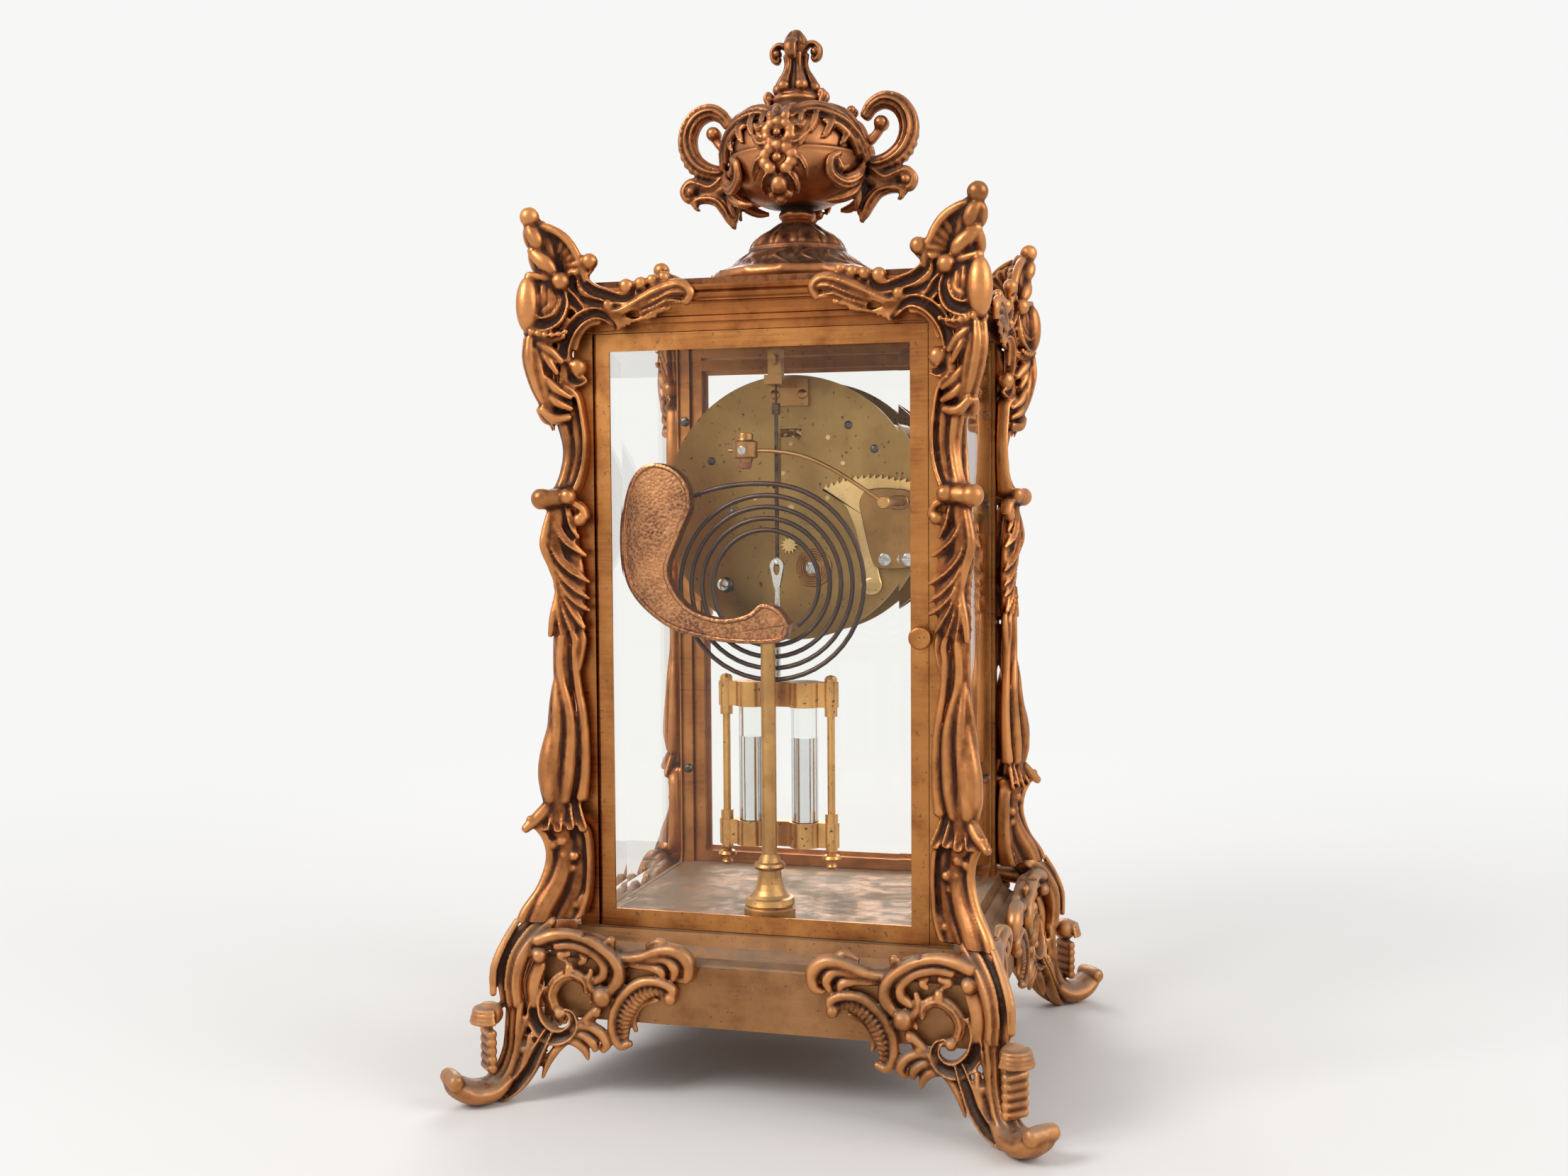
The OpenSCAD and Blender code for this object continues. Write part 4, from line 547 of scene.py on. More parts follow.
# Sheet metals: darker and paler tone, stain, and what differs from plain brass
EVEN, SPOTTED = (50, 50, 50), (60, 60, 60)
SHEET = {
    "aged_brass": ((0.3, 0.14, 0.045), (0.52, 0.28, 0.095), (0.16, 0.06, 0.022),
                   dict(grain=SPOTTED, specks=0.5)),
    "pale_brass": ((0.62, 0.4, 0.15), (0.8, 0.56, 0.25), (0.4, 0.22, 0.08),
                   dict(grain=EVEN, specks=0.4)),
    "cock_brass": ((0.26, 0.13, 0.045), (0.42, 0.23, 0.08), (0.13, 0.055, 0.02),
                   dict(grain=EVEN, specks=0.4)),
    "pendulum_gilt": ((0.48, 0.225, 0.065), (0.72, 0.4, 0.13), (0.24, 0.085, 0.03),
                      dict(grain=EVEN, specks=1.0, rough=(0.2, 0.34))),
    "post_brass": ((0.42, 0.21, 0.065), (0.64, 0.36, 0.12), (0.22, 0.09, 0.03),
                   dict(grain=EVEN, specks=0.6, dust=0.25, rough=(0.28, 0.42))),
    "case_brass": ((0.32, 0.115, 0.034), (0.54, 0.235, 0.07), (0.19, 0.048, 0.016),
                   dict(specks=0.6, stained=0.6)),
    "cornice_brass": ((0.26, 0.08, 0.025), (0.48, 0.18, 0.05), (0.12, 0.032, 0.012),
                      dict(grain=(12, 12, 400), dust=0.25, stained=0.7)),
    "dusty_base": ((0.24, 0.105, 0.04), (0.4, 0.2, 0.085), (0.12, 0.05, 0.022),
                   dict(rough=(0.36, 0.55), dust=0.75, specks=0.6)),
    "movement_brass": ((0.27, 0.155, 0.05), (0.4, 0.245, 0.085), (0.16, 0.08, 0.028),
                       dict(grain=(30, 30, 30), specks=0.9, rough=(0.26, 0.42))),
    "bright_brass": ((0.62, 0.4, 0.16), (0.78, 0.55, 0.25), (0.4, 0.22, 0.09),
                     dict(rough=(0.16, 0.3), stained=0.3)),
    "blued_steel": ((0.07, 0.06, 0.055), (0.16, 0.14, 0.13), (0.12, 0.06, 0.04),
                    dict(rough=(0.25, 0.4))),
    "bright_steel": ((0.5, 0.49, 0.47), (0.68, 0.67, 0.65), (0.36, 0.33, 0.3),
                     dict(rough=(0.1, 0.22), stained=0.25)),
    "gong_steel": ((0.035, 0.025, 0.02), (0.09, 0.06, 0.05), (0.12, 0.05, 0.03),
                   dict(rough=(0.3, 0.5))),
    "mercury": ((0.7, 0.7, 0.71), (0.78, 0.78, 0.79), (0.6, 0.6, 0.6),
                dict(rough=(0.04, 0.1), stained=0.1)),
}
MATS = {name: cast_metal(name, *look) for name, look in CAST.items()}
for name, (dark, pale, stain, differs) in SHEET.items():
    MATS[name] = sheet_metal(name, dark, pale, stain, **differs)
ROD_BRIGHT_BELOW = 0.2315
MATS.update(bevelled_glass=clear_glass("bevelled_glass", (0.985, 0.985, 0.97), 0.012),
            vial_glass=clear_glass("vial_glass", (0.97, 0.98, 0.97), 0.01),
            gong_bronze=hammered(), enamel=enamel(), leather=leather(), black_paint=black_paint(),
            rod_steel=rod_steel(ROD_BRIGHT_BELOW))

# CAD nodes wear their slot's material, and a few one of their own
OWN_MATERIAL = {
    "cornice": "cornice_brass", "suspension_cock": "aged_brass", "pallets_crutch": "aged_brass",
    "pendulum_frames": "pendulum_gilt", "pendulum_tie_rods": "pendulum_gilt",
    "gong_post": "post_brass", "back_door_latch": "case_brass", "front_door_latch": "case_brass",
    "pendulum_rod": "rod_steel",
}


def dress_frame():
    for part in frame["record"]["subparts"]:
        data = frame["nodes"][part["node"]].data
        data.materials.clear()
        data.materials.append(MATS[OWN_MATERIAL.get(part["node"], part["material_slot"])])


dress_frame()

# Camera, solved from the photograph, in metres
CAM_AT = Vector((-0.1931, 0.7335, 0.2550))
CAM_RIGHT = Vector((-0.9646, -0.2635, -0.0069))
CAM_FORWARD = Vector((0.2635, -0.9634, -0.0502))
CAM_LENS, CAM_SENSOR = 37.59, 36
CAM_NEAR, CAM_FAR = 0.01, 20


def make_camera():
    data = bpy.data.cameras.new("camera")
    data.lens, data.sensor_width = CAM_LENS, CAM_SENSOR
    data.clip_start, data.clip_end = CAM_NEAR, CAM_FAR
    cam = link_new("camera", data)
    back = -CAM_FORWARD.normalized()
    up = back.cross(CAM_RIGHT.normalized()).normalized()
    turn = Matrix((up.cross(back), up, back)).transposed().to_4x4()
    cam.matrix_world = Matrix.Translation(CAM_AT) @ turn
    bpy.context.scene.camera = cam


# Stage and lights
PALE = (0.93, 0.93, 0.925, 1)
FLOOR_HALF = 6.0
SKY = 0.5
AIM = Vector((0, 0, 0.22))


def backdrop():
    """Pale floor that takes a shadow near the clock and fades into the background."""
    m = Shade("backdrop")
    near = m.node("ShaderNodeBsdfDiffuse", Color=(0.8, 0.79, 0.775, 1))
    far = m.node("ShaderNodeEmission", Color=PALE)
    away = m.node("ShaderNodeVectorMath", operation="LENGTH")
    m.link(m.coord, away.inputs[0])
    return m.blend(m.grey(away.outputs["Value"], 0.25, 1.0), near, far)


def make_floor():
    h = FLOOR_HALF
    mesh = bpy.data.meshes.new("floor")
    mesh.from_pydata([(-h, -h, 0), (h, -h, 0), (h, h, 0), (-h, h, 0)], [], [(0, 1, 2, 3)])
    mesh.materials.append(backdrop())
    link_new("floor", mesh)


def make_world():
    """Even light, with a pale background for the camera and for what glass and metal show."""
    world = bpy.data.worlds.new("world")
    bpy.context.scene.world = world
    world.use_nodes = True
    nodes, links = world.node_tree.nodes, world.node_tree.links
    nodes.clear()
    lit, seen = nodes.new("ShaderNodeBackground"), nodes.new("ShaderNodeBackground")
    lit.inputs["Color"].default_value = (1, 1, 1, 1)
    lit.inputs["Strength"].default_value = SKY
    seen.inputs["Color"].default_value = PALE
    path = nodes.new("ShaderNodeLightPath")
    fac = path.outputs["Is Camera Ray"]
    for kind in ("Is Glossy Ray", "Is Transmission Ray"):
        most = nodes.new("ShaderNodeMath")
        most.operation = "MAXIMUM"
        links.new(fac, most.inputs[0])
        links.new(path.outputs[kind], most.inputs[1])
        fac = most.outputs[0]
    mix = nodes.new("ShaderNodeMixShader")
    for socket, source in zip(mix.inputs, (fac, lit.outputs[0], seen.outputs[0])):
        links.new(source, socket)
    links.new(mix.outputs[0], nodes.new("ShaderNodeOutputWorld").inputs["Surface"])


def area_light(name, at, size, power):
    """Plain white panel aimed at the middle of the clock."""
    data = bpy.data.lights.new(name, "AREA")
    data.shape = "RECTANGLE"
    data.size, data.size_y = size
    data.energy = power
    obj = link_new(name, data)
    obj.location = at
    obj.rotation_euler = (AIM - Vector(at)).to_track_quat("-Z", "Y").to_euler()


make_camera()
make_floor()
make_world()
area_light("key", (0.9, 1.1, 1.2), (0.7, 0.7), 16)
area_light("side", (-1.3, 0.3, 0.9), (0.9, 0.9), 9)
area_light("front", (0.4, -1.4, 1.0), (1.0, 0.8), 12)
bpy.context.scene.view_settings.view_transform = "Standard"

# Corner castings: u runs along a face from the corner towards its middle,
# h stands out of the face and z rises from the top of the base
POD_AT = 14.5


def crest_shell(c):
    """Rolled rim of the shell, the fan of flutes inside it and the leaf buds beside it."""
    sweep(c, [(9, 7.5, 279, 1.3), (8.2, 8.4, 283, 1.8), (6.6, 9, 288, 2), (3.6, 9.8, 294, 2.1),
              (-0.6, 10.6, 298.6, 2.1), (-6.8, 11.2, 301.7, 2.1), (-12.5, 12, 302.4, 1.9)])
    shell(c, (-6.2, 6.4, 283.6), (-14, 108), 2.2, lambda t: 12.6 + 4.2 * t, flutes=7)
    sweep(c, [(-14, 12.4, 292.4, 1.8), (-10.4, 12.8, 289.6, 3.2), (-6.4, 12.4, 285.8, 3.6),
              (-3.6, 11.4, 282, 2.2)])
    sweep(c, [(-15, 14, 302.4, 1.4), (-12.4, 14.4, 299.6, 3), (-10.6, 13.8, 295.8, 3.2),
              (-10, 12.8, 292.4, 1.6)])
    sweep(c, [(-4, 11.4, 279.8, 1.2), (-8.4, 13.4, 280.6, 1.6), (-14, 14.6, 281.6, 1.8)])
    bead(c, -0.8, 11.6, 278.8, 4.1)


def crest_volutes(c):
    """Fluted cup, the falling leaf and the volutes with their balls."""
    strokes(c, [[(-5.6 - 2.9 * k, 11.2 + 1.1 * k, 279, 1), (-5.2 - 2.9 * k, 12.4 + 1.2 * k, 272, 1.4),
                 (-6 - 2.9 * k, 11.8 + 1.2 * k, 265, 1.2)] for k in range(3)])
    sweep(c, [(-3, 9, 277, 2.2), (0.6, 8.8, 274, 2.8), (4.4, 8.4, 270, 2.8), (7.6, 7.6, 266, 2),
              (9.4, 7, 263.4, 0.9)], CHANNEL, flat=0.9)
    bead(c, 11.1, 8, 287.2, 3.7)
    sweep(c, [(11.6, 7, 284.6, 1.5), (8.6, 7, 282.2, 2.2), (8.4, 7, 278.4, 2.8), (13, 7, 274.6, 3),
              (19, 7, 272.6, 2.9), (25, 7, 271, 2.5), (29.6, 7, 272, 1.9), (31, 7, 275.4, 1.3)], CHANNEL)
    bead(c, 27.5, 7.6, 276.2, 3.3)
    sweep(c, [(4.8, 7.2, 282, 1.3), (3.6, 7.4, 277.6, 1.8), (6.2, 7.4, 272.6, 2), (12, 7, 269.8, 1.9),
              (17.5, 6.8, 269.4, 1.2)], CHANNEL)
    for u, z, r in ((33.6, 277.2, 3), (38.9, 278.4, 2.7), (43.8, 279.6, 2.5)):
        bead(c, u, 6.4, z, r)


def leaf_arm(c):
    """Long ridge with a curled end, its flutes and the little fan under it."""
    bead(c, 19.4, 8.4, 268.6, 2.5)
    sweep(c, [(20.6, 7.4, 265.8, 1.9), (25.5, 7.4, 266.4, 2.2), (33.5, 7.6, 270.4, 2.5),
              (43, 7.8, 274.6, 2.7), (51.4, 7.6, 276, 2.4), (55.6, 7.2, 272.4, 2.1),
              (53.6, 7, 268.2, 1.6)], RIBBED, flat=1.2)
    strokes(c, [
        [(53, 7.6, 272.6, 1.5), (48, 8.2, 272.6, 2.1), (41, 7.8, 269.8, 2), (31, 7, 266, 1.1)],
        [(51.6, 7.4, 268.8, 1.5), (46.4, 8, 269.4, 1.9), (40.4, 7.4, 267, 1.7), (33, 6.8, 264.6, 1)],
        [(46.6, 7, 266.2, 1.3), (42, 7.2, 265.6, 1.5), (36.6, 6.8, 263.8, 1)],
        [(40, 6.6, 263.6, 1.1), (35.6, 6.8, 262.8, 1.2), (31, 6.6, 262, 0.9)]], section=BLADE, flat=1.4)
    strokes(c, [[(19.6, 6.6, 265, 1.4), (23.6, 6.8, 263.4 - k, 1.4 - 0.05 * k),
                 (30.6 - 2.4 * k, 6.2, 261.6 - 1.1 * k, 0.9)] for k in range(5)])


def great_c(c):
    """Large channelled C that frames a ball."""
    sweep(c, [(21.6, 5.6, 260.4, 1.4), (17.4, 6.4, 264.2, 2.2), (12.6, 7, 265.2, 2.8),
              (6.6, 7.2, 262.6, 3.1), (1.4, 7, 256.8, 3.2), (-1.2, 6.4, 249.4, 3), (-0.8, 5.6, 242, 2.7),
              (3.2, 4.8, 237, 2.3), (7, 4.2, 237.4, 1.4)], CHANNEL, flat=1.2)
    sweep(c, [(14.6, 6.4, 261.4, 1.2), (10.2, 6.8, 261, 1.6), (5.4, 6.6, 256.6, 1.5), (3.4, 6, 250.4, 1)])
    bead(c, 3.8, 4.8, 243, 4.2)


def drapery(c):
    """Bowl under the pod with its row of beads, and the folds and leaf tips below."""
    sweep(c, [(-1.4, 10, 276.6, 1.5), (0.4, 10.4, 270, 2.2), (-2, 11.4, 263.6, 3), (-7.6, 13, 260.8, 3.3),
              (-13, 14, 262.4, 3)], CHANNEL, flat=1.1)
    sweep(c, [(-4.4, 11, 275.4, 1.3), (-4.6, 11.8, 269.4, 1.9), (-8, 13, 266, 2)])
    for k in range(6):
        bead(c, 1.6 - 2.8 * k, 12.6 + 0.8 * k, 258.4 - 2.4 * math.sin(math.pi * (k + 1) / 7), 1.3)
    sweep(c, [(-1, 8.6, 256.4, 2.2), (-6.6, 11.4, 255, 2.8), (-13, 13, 254.6, 3)])
    strokes(c, [
        [(-13, 13.4, 254, 1.8), (-6.4, 12, 250, 2.4), (-1.6, 9.2, 245, 1.6)],
        [(-9.4, 13, 250, 1.3), (-6, 12.6, 245, 1.9), (-3, 11, 240, 1.1)],
        [(-11.8, 14, 250, 1.8), (-10, 13.4, 242, 2.1), (-8.6, 12, 234, 2), (-7, 10, 226, 1.7),
         (-4.4, 8, 218.6, 0.7)],
        [(-8.6, 12.4, 239, 1.4), (-4, 10.6, 233.6, 2.1), (1.6, 7.6, 229.8, 1.1)],
        [(-8, 11.4, 232, 1.4), (-3.6, 10, 227.6, 2.1), (1.8, 7.2, 225, 1.2)],
        [(-10, 11.6, 225, 1.8), (-5, 10, 220.8, 2.4), (0.8, 7.2, 221.4, 1.7)]], flat=1.15)
    sweep(c, [(0, 5.4, 256, 1.8), (-2, 6, 246, 2.6), (-2.4, 6.2, 236, 2.8), (-3, 6.2, 226, 2)])


def crest_corner(c):
    """Ball on the peak, the core behind the crest, the smooth pod and the hanging leaf."""
    bead(c, -13.6, 13.6, 306.2, 4.4)
    ridges(c, [[(10, 303, 3.2), (8.4, 295, 4.4), (7.6, 284, 5.4), (7.6, 272, 6), (7, 262, 6)]])
    c.ball((POD_AT, POD_AT, 269), 5.3, (1, 1, 2.3), 26)
    ridges(c, [
        [(13, 264, 3.6), (11, 255, 3.4), (10, 246, 3.8), (9.4, 236, 3.6), (8, 226, 3), (7, 218.6, 1.2)]])
    strokes(c, [
        [(-13.4, 15.8, 255, 1.5), (-13.6, 15.8, 246, 2), (-11.4, 13.6, 235, 1.9), (-8.4, 10.4, 226, 1.5),
         (-6, 7.6, 216, 0.5)],
        [(-15.8, 13.4, 255, 1.5), (-15.8, 13.6, 246, 2), (-13.6, 11.4, 235, 1.9), (-10.4, 8.4, 226, 1.5),
         (-7.6, 6, 216, 0.5)]], face=OUT, flat=1.1)


def column_frame(c):
    """Thin bowed frame with ribs inside, then the rolled knob and the flat scroll."""
    sweep(c, [(-1, 5, 235, 1.8), (3.4, 4, 231, 1.3), (5.4, 3.6, 222, 1.2), (6.6, 3.4, 211, 1.2),
              (5.6, 3.6, 200, 1.3), (2.6, 4.2, 191, 1.6), (-0.4, 5, 187, 2)], flat=2.6)
    sweep(c, [(0.6, 1.4, 232, 3), (1.4, 0.8, 209, 4.4), (-0.4, 1.6, 190, 3.2)], flat=0.4)
    strokes(c, [
        [(-1.6, 5, 231, 1.9), (1.4, 3.4, 222, 2.1), (2.8, 2.4, 208, 2.1), (1, 3, 197, 2),
         (-1.8, 5, 189, 1.8)],
        [(-6.4, 7.4, 231, 1.8), (-3.4, 5, 220, 1.9), (-1.6, 2.8, 208, 1.9), (-3, 4, 197, 1.9),
         (-5.6, 6.6, 189, 1.8)]], flat=1.1)
    sweep(c, [(-1.4, 8, 187, 3.8), (-5.4, 9.2, 187, 4.1), (-9.4, 10.4, 186.4, 4.4)])
    bead(c, 0.4, 9.6, 187.6, 3.6)
    sweep(c, [(-3.4, 6.4, 184.6, 1.6), (1.4, 6, 184.8, 2), (5.4, 5.6, 182.6, 1.9), (7, 5.2, 178.6, 1.6)],
          flat=1.7)
    bead(c, 4.4, 6.4, 177.6, 3)
    sweep(c, [(-1.4, 7, 183, 1.8), (0.6, 7, 175, 1.9), (3.4, 6, 169.6, 1.1)], BLADE, flat=1.3)


def acanthus(c):
    """Leaf whose lobes fall from the rib to the face."""
    strokes(c, [
        [(-6.6, 8.8, 177, 1.8), (-2.4, 8.2, 169, 2.6), (2, 6.6, 165, 2.4), (6.4, 4.8, 162, 1.1)],
        [(-8.4, 9.4, 170, 1.8), (-5.4, 9, 162, 2.6), (-0.4, 7.4, 156, 2.6), (4.4, 5.8, 152.6, 2),
         (8, 4.8, 150.6, 0.9)],
        [(-7, 8.8, 160, 1.7), (-3, 8, 152.6, 2.3), (2.4, 6.6, 147, 2), (7.6, 4.8, 143.4, 0.9)],
        [(-5.6, 8.2, 154, 1.7), (-1.6, 7.4, 146, 2.2), (3.2, 6.2, 141, 2.1), (7.8, 4.8, 138.2, 1.1)],
        [(-4.4, 7.6, 148.6, 1.7), (-1, 7.2, 140.6, 2.2), (2.6, 6.2, 134.6, 2.3), (5.4, 5.4, 130.6, 1.3)],
        [(-4.2, 7.4, 145, 1.5), (-2.6, 7.4, 137.6, 2.1), (-0.6, 7, 131.4, 2.2), (0.8, 6.4, 128, 1.3)],
        [(-5.4, 8.2, 142, 1.5), (-5, 8.2, 135, 2), (-4, 7.8, 129, 2), (-3, 7.2, 126, 1)]],
        section=BLADE, flat=1.25)
    sweep(c, [(-3, 4.4, 180, 3.4), (-1, 4, 160, 5.4), (0.4, 3.8, 146, 5.4), (-0.6, 4, 130, 4)], flat=0.5)


def stems(c):
    """Slender stems that swell into long bulbs, and the ruffled collar below."""
    strokes(c, [
        [(3.4, 4.6, 131, 1.1), (4.6, 4.4, 126, 1.5), (3.6, 4.4, 120, 1.7), (2.2, 4.6, 113, 1.4)],
        [(-0.6, 6.2, 131, 1.3), (1.4, 6, 125.6, 1.7), (1, 5.6, 119, 1.8), (1.4, 5, 110, 1.9),
         (2.4, 4.8, 102, 2), (3.6, 4.7, 95, 2.2), (4.6, 4.6, 82, 2.4), (4.4, 4.8, 68, 2.7),
         (3.2, 5.4, 57, 3)],
        [(-4.4, 7.6, 127, 1.8), (-5, 7.4, 116, 2), (-4.2, 7.4, 107, 2.1), (-2.2, 7.6, 99, 2.3),
         (-0.6, 7.6, 90, 2.6), (-0.6, 8, 79, 3), (-1.8, 8.6, 66, 3.4), (-3.6, 8.4, 56.4, 3.2)],
        [(-6.4, 6.4, 112, 1), (-6.6, 7.6, 106, 1.7), (-6.2, 8.8, 98, 2.1), (-6, 9.6, 88, 2.5),
         (-7.2, 10.8, 75, 3.1), (-8.8, 11.6, 64, 3.4), (-8.8, 10.8, 56.4, 2.8)]])
    strokes(c, [[(0.6 - 3.4 * k, 6 + 1.3 * k, 56, 1.9), (2.4 - 4.2 * k, 7.4 + 1.5 * k, 49.4, 2.4),
                 (5.4 - 5.2 * k, 8.6 + 1.9 * k, 43.6 + 0.9 * (k % 2), 1.9)] for k in range(4)],
            section=CHANNEL, flat=0.6)


def low_c(c):
    """Beads under the collar and the tall C that carries the column."""
    for u, h, z, r in ((-5, 8.4, 38.4, 2.9), (0.2, 7, 31.4, 2.4), (-4.4, 7.8, 32, 2.3),
                       (-1, 6.8, 25.8, 1.9), (-8.6, 9.4, 36.6, 2.4)):
        bead(c, u, h, z, r)
    sweep(c, [(1.6, 5, 46, 1.8), (5.4, 4.4, 41, 1.6), (6.4, 4, 31, 1.6), (6, 4, 20, 1.7),
              (4.6, 4.6, 11, 1.9), (1.4, 5.6, 4, 2.1), (-3.6, 7, 0, 2.2)], flat=1.9)
    sweep(c, [(0, 3, 46, 4), (0, 3.4, 30, 4.6), (-1.4, 5, 16, 4.6), (-4, 7, 4, 5)], flat=0.7)
    strokes(c, [
        [(-6, 7.6, 38, 2), (-6.6, 7.4, 27, 2.3), (-8.4, 9.4, 15, 2.4), (-11.6, 12.4, 5, 2.2),
         (-14, 14, 0, 1.8)],
        [(-1.6, 6, 20, 1.4), (-2.6, 7.2, 13, 2), (-6, 9.6, 5.6, 2.4), (-9, 11.6, 0, 2)],
        [(4.8, 5.6, 15.4, 1.2), (2.6, 6.6, 11.6, 1.6), (3.4, 6.8, 6.6, 1.6), (0.2, 7.8, 1.6, 1.8)]])
    bead(c, 0.6, 7.2, 10, 2)


def column_corner(c):
    """Core behind the edge of the column, the knob, and the ribs that run over the edge."""
    ridges(c, [
        [(4.4, 232, 3.6), (2, 221, 3.2), (-0.4, 208, 2.8), (1.2, 197, 3), (5.6, 187, 4), (6.4, 176, 4),
         (6.6, 166, 4), (4.4, 158, 4), (2.4, 149, 4), (3, 143, 4), (4.6, 136, 3.9), (5, 126, 3.7),
         (4.4, 112, 3.5), (4.6, 102, 3.8), (6.8, 88, 4.6), (9, 74, 5.6), (9.2, 64, 5.6), (7.2, 55, 5),
         (6.8, 46, 5.4), (5, 38, 5), (4.8, 30, 5.2), (7.4, 20, 5.6), (12, 10, 6.2), (15, 1, 6)]])
    bead(c, -11, 11, 186.6, 4.8)
    strokes(c, [
        [(-7.6, 8.6, 183, 1.5), (-9.8, 10.4, 173, 1.8), (-10.4, 11, 166, 1.9), (-7.8, 9, 158, 1.9),
         (-5.6, 7, 149.4, 1.8), (-6, 7.4, 143.8, 1.7), (-7.6, 8.8, 136, 1.6), (-8.6, 9.6, 127.6, 1.2)],
        [(-16.6, 16.6, 49, 1.6), (-11.4, 11.4, 40, 1.8), (-10, 10, 30, 2), (-13, 13, 18, 2.2),
         (-18.4, 18.4, 8, 2.4), (-20.6, 20.6, 0, 2)]], face=OUT)
    ridges(c, [[(9, 56, 2.2), (12.8, 50, 3), (18, 44.4, 2)]], face=ACROSS)


# Feet: their h is measured from this plane, and the toe's cap stands on the diagonal
FOOT_PLANE = 17
CAP_AT, CAP_R = 30.4, 6.2


def foot_knee(c):
    """Two ridges of the knee's great band, and the small leaves and beads inside it."""
    sweep(c, [(20.4, 0, -23.6, 2.4), (23.6, 0, -19, 3.1), (24, 0, -13.6, 3), (20, 0.4, -8, 2.7),
              (12, 1, -2.6, 2.6), (3, 1.6, 0, 2.6), (-5, 2.4, -0.6, 3), (-12, 3, -3, 3.2)],
          flat=1.2)
    sweep(c, [(13.6, 0, -20.2, 1.8), (17.4, 0, -16.6, 2.6), (17, 0, -11.8, 2.6),
              (11.6, 0.6, -7.2, 2.3), (3.4, 1, -4.8, 2.2), (-4, 1.6, -5.4, 2)], flat=1.2)
    sweep(c, [(26, -4, -18, 2), (20, -4, -7, 3), (6, -3, -2.6, 3.6), (-8, -1, -4, 4.4)])
    strokes(c, [
        [(6.6, 0, -8.4, 1.5), (8.6, 0.6, -10.8, 1.9), (6.4, 0.6, -12.6, 1.2)],
        [(1.6, 0.4, -8.6, 1.5), (-2.6, 1, -9.6, 1.9), (0, 0.6, -12, 1.1)],
        [(11.4, -0.4, -15.4, 1.3), (10.4, 0, -20.6, 1.8), (13, 0, -25.6, 1.9), (11, 0, -29.6, 1.2)]])
    bead(c, 1.7, 1, -15.8, 2.3, (1, 1, 1.5))
    bead(c, 16.6, 0.6, -26.4, 4.6)
    bead(c, 13.6, 0, -33.4, 2.6)
    bead(c, 9.8, 0, -38.2, 2.6)
    strokes(c, [
        [(15, 0, -31.4, 1.4), (11.4, 0.4, -34.6, 2), (6.4, 0, -39.6, 1.8)],
        [(12.6, -0.4, -35.8, 1.4), (9, 0, -39.4, 1.8), (4, 0, -42.6, 1.6)]])


def foot_curls(c):
    """C of the shoulder, the ribbed curl in the opening and the crescent under it."""
    bead(c, -10.9, 4.2, -9.4, 3.4)
    sweep(c, [(-9, 3, -6, 1.4), (-13.6, 4, -5.4, 2), (-18.6, 5, -10.4, 2.4),
              (-21, 6, -18, 2.4), (-22, 6.6, -26, 2.2), (-21.8, 6.4, -33.6, 1.6)],
          CHANNEL, flat=1.3)
    sweep(c, [(-12, 1.6, -14, 3.4), (-14.6, 3, -22, 3.6), (-14, 3, -31, 3.2)], flat=0.6)
    sweep(c, [(8.8, -0.6, -25.4, 1.5), (8, 0, -20.6, 2.2), (2.6, 0.6, -17.8, 2.7),
              (-3.6, 0.8, -20.6, 2.8), (-6.8, 0.8, -26.6, 2.7), (-5.6, 0.6, -32.6, 2.2)],
          RIBBED, flat=1.1)
    bead(c, -3.2, 0.6, -35, 2.7)
    sweep(c, [(-10.4, 2, -23.4, 1), (-13.6, 2.6, -30, 2.4), (-12.8, 2.6, -38, 3.5),
              (-7.4, 2.2, -43.8, 3.8), (-1.2, 1.6, -44.4, 3.2), (3.2, 1, -40.6, 2.4),
              (2.6, 0.6, -35.6, 1.7), (-0.6, 0.6, -33.6, 1)], CHANNEL, flat=1.2)


def foot_arm(c):
    """Leaf arm that runs along the base."""
    sweep(c, [(17, 0, -5.6, 1.6), (22.6, -1, -9.4, 2), (33, -1.6, -8.8, 2.3),
              (43, -1.6, -5.2, 3), (50.6, -1.6, -5.6, 3.3), (55, -1.8, -10.4, 3.2),
              (54.2, -2, -16.4, 2.4), (50.6, -2.4, -18.4, 1)], flat=1.1)
    sweep(c, [(30, -2, -9.6, 1.4), (38, -1.4, -9.4, 2), (45, -1.4, -9, 2.4),
              (48.8, -1.6, -12.4, 2.7), (47.8, -2, -17.2, 1.5)], flat=1.1)
    sweep(c, [(24, -2, -11.4, 1.2), (30.6, -1.8, -12.4, 1.7), (37.4, -1.6, -12.6, 2),
              (42.4, -1.6, -14, 2.4), (43, -2, -18, 1.5)], flat=1.1)
    sweep(c, [(20, -4, -8, 2), (36, -4.4, -10, 4), (49, -4.4, -11, 5)], flat=0.5)
    strokes(c, [
        [(17, -0.6, -4.4, 1.3), (20.6, -0.4, -1.8, 1.8), (20.8, -1, -5.6, 1.2)],
        [(36, -3, -4, 1.2), (41.6, -2.4, -1.8, 2), (46, -2.6, -3, 1.2)]])


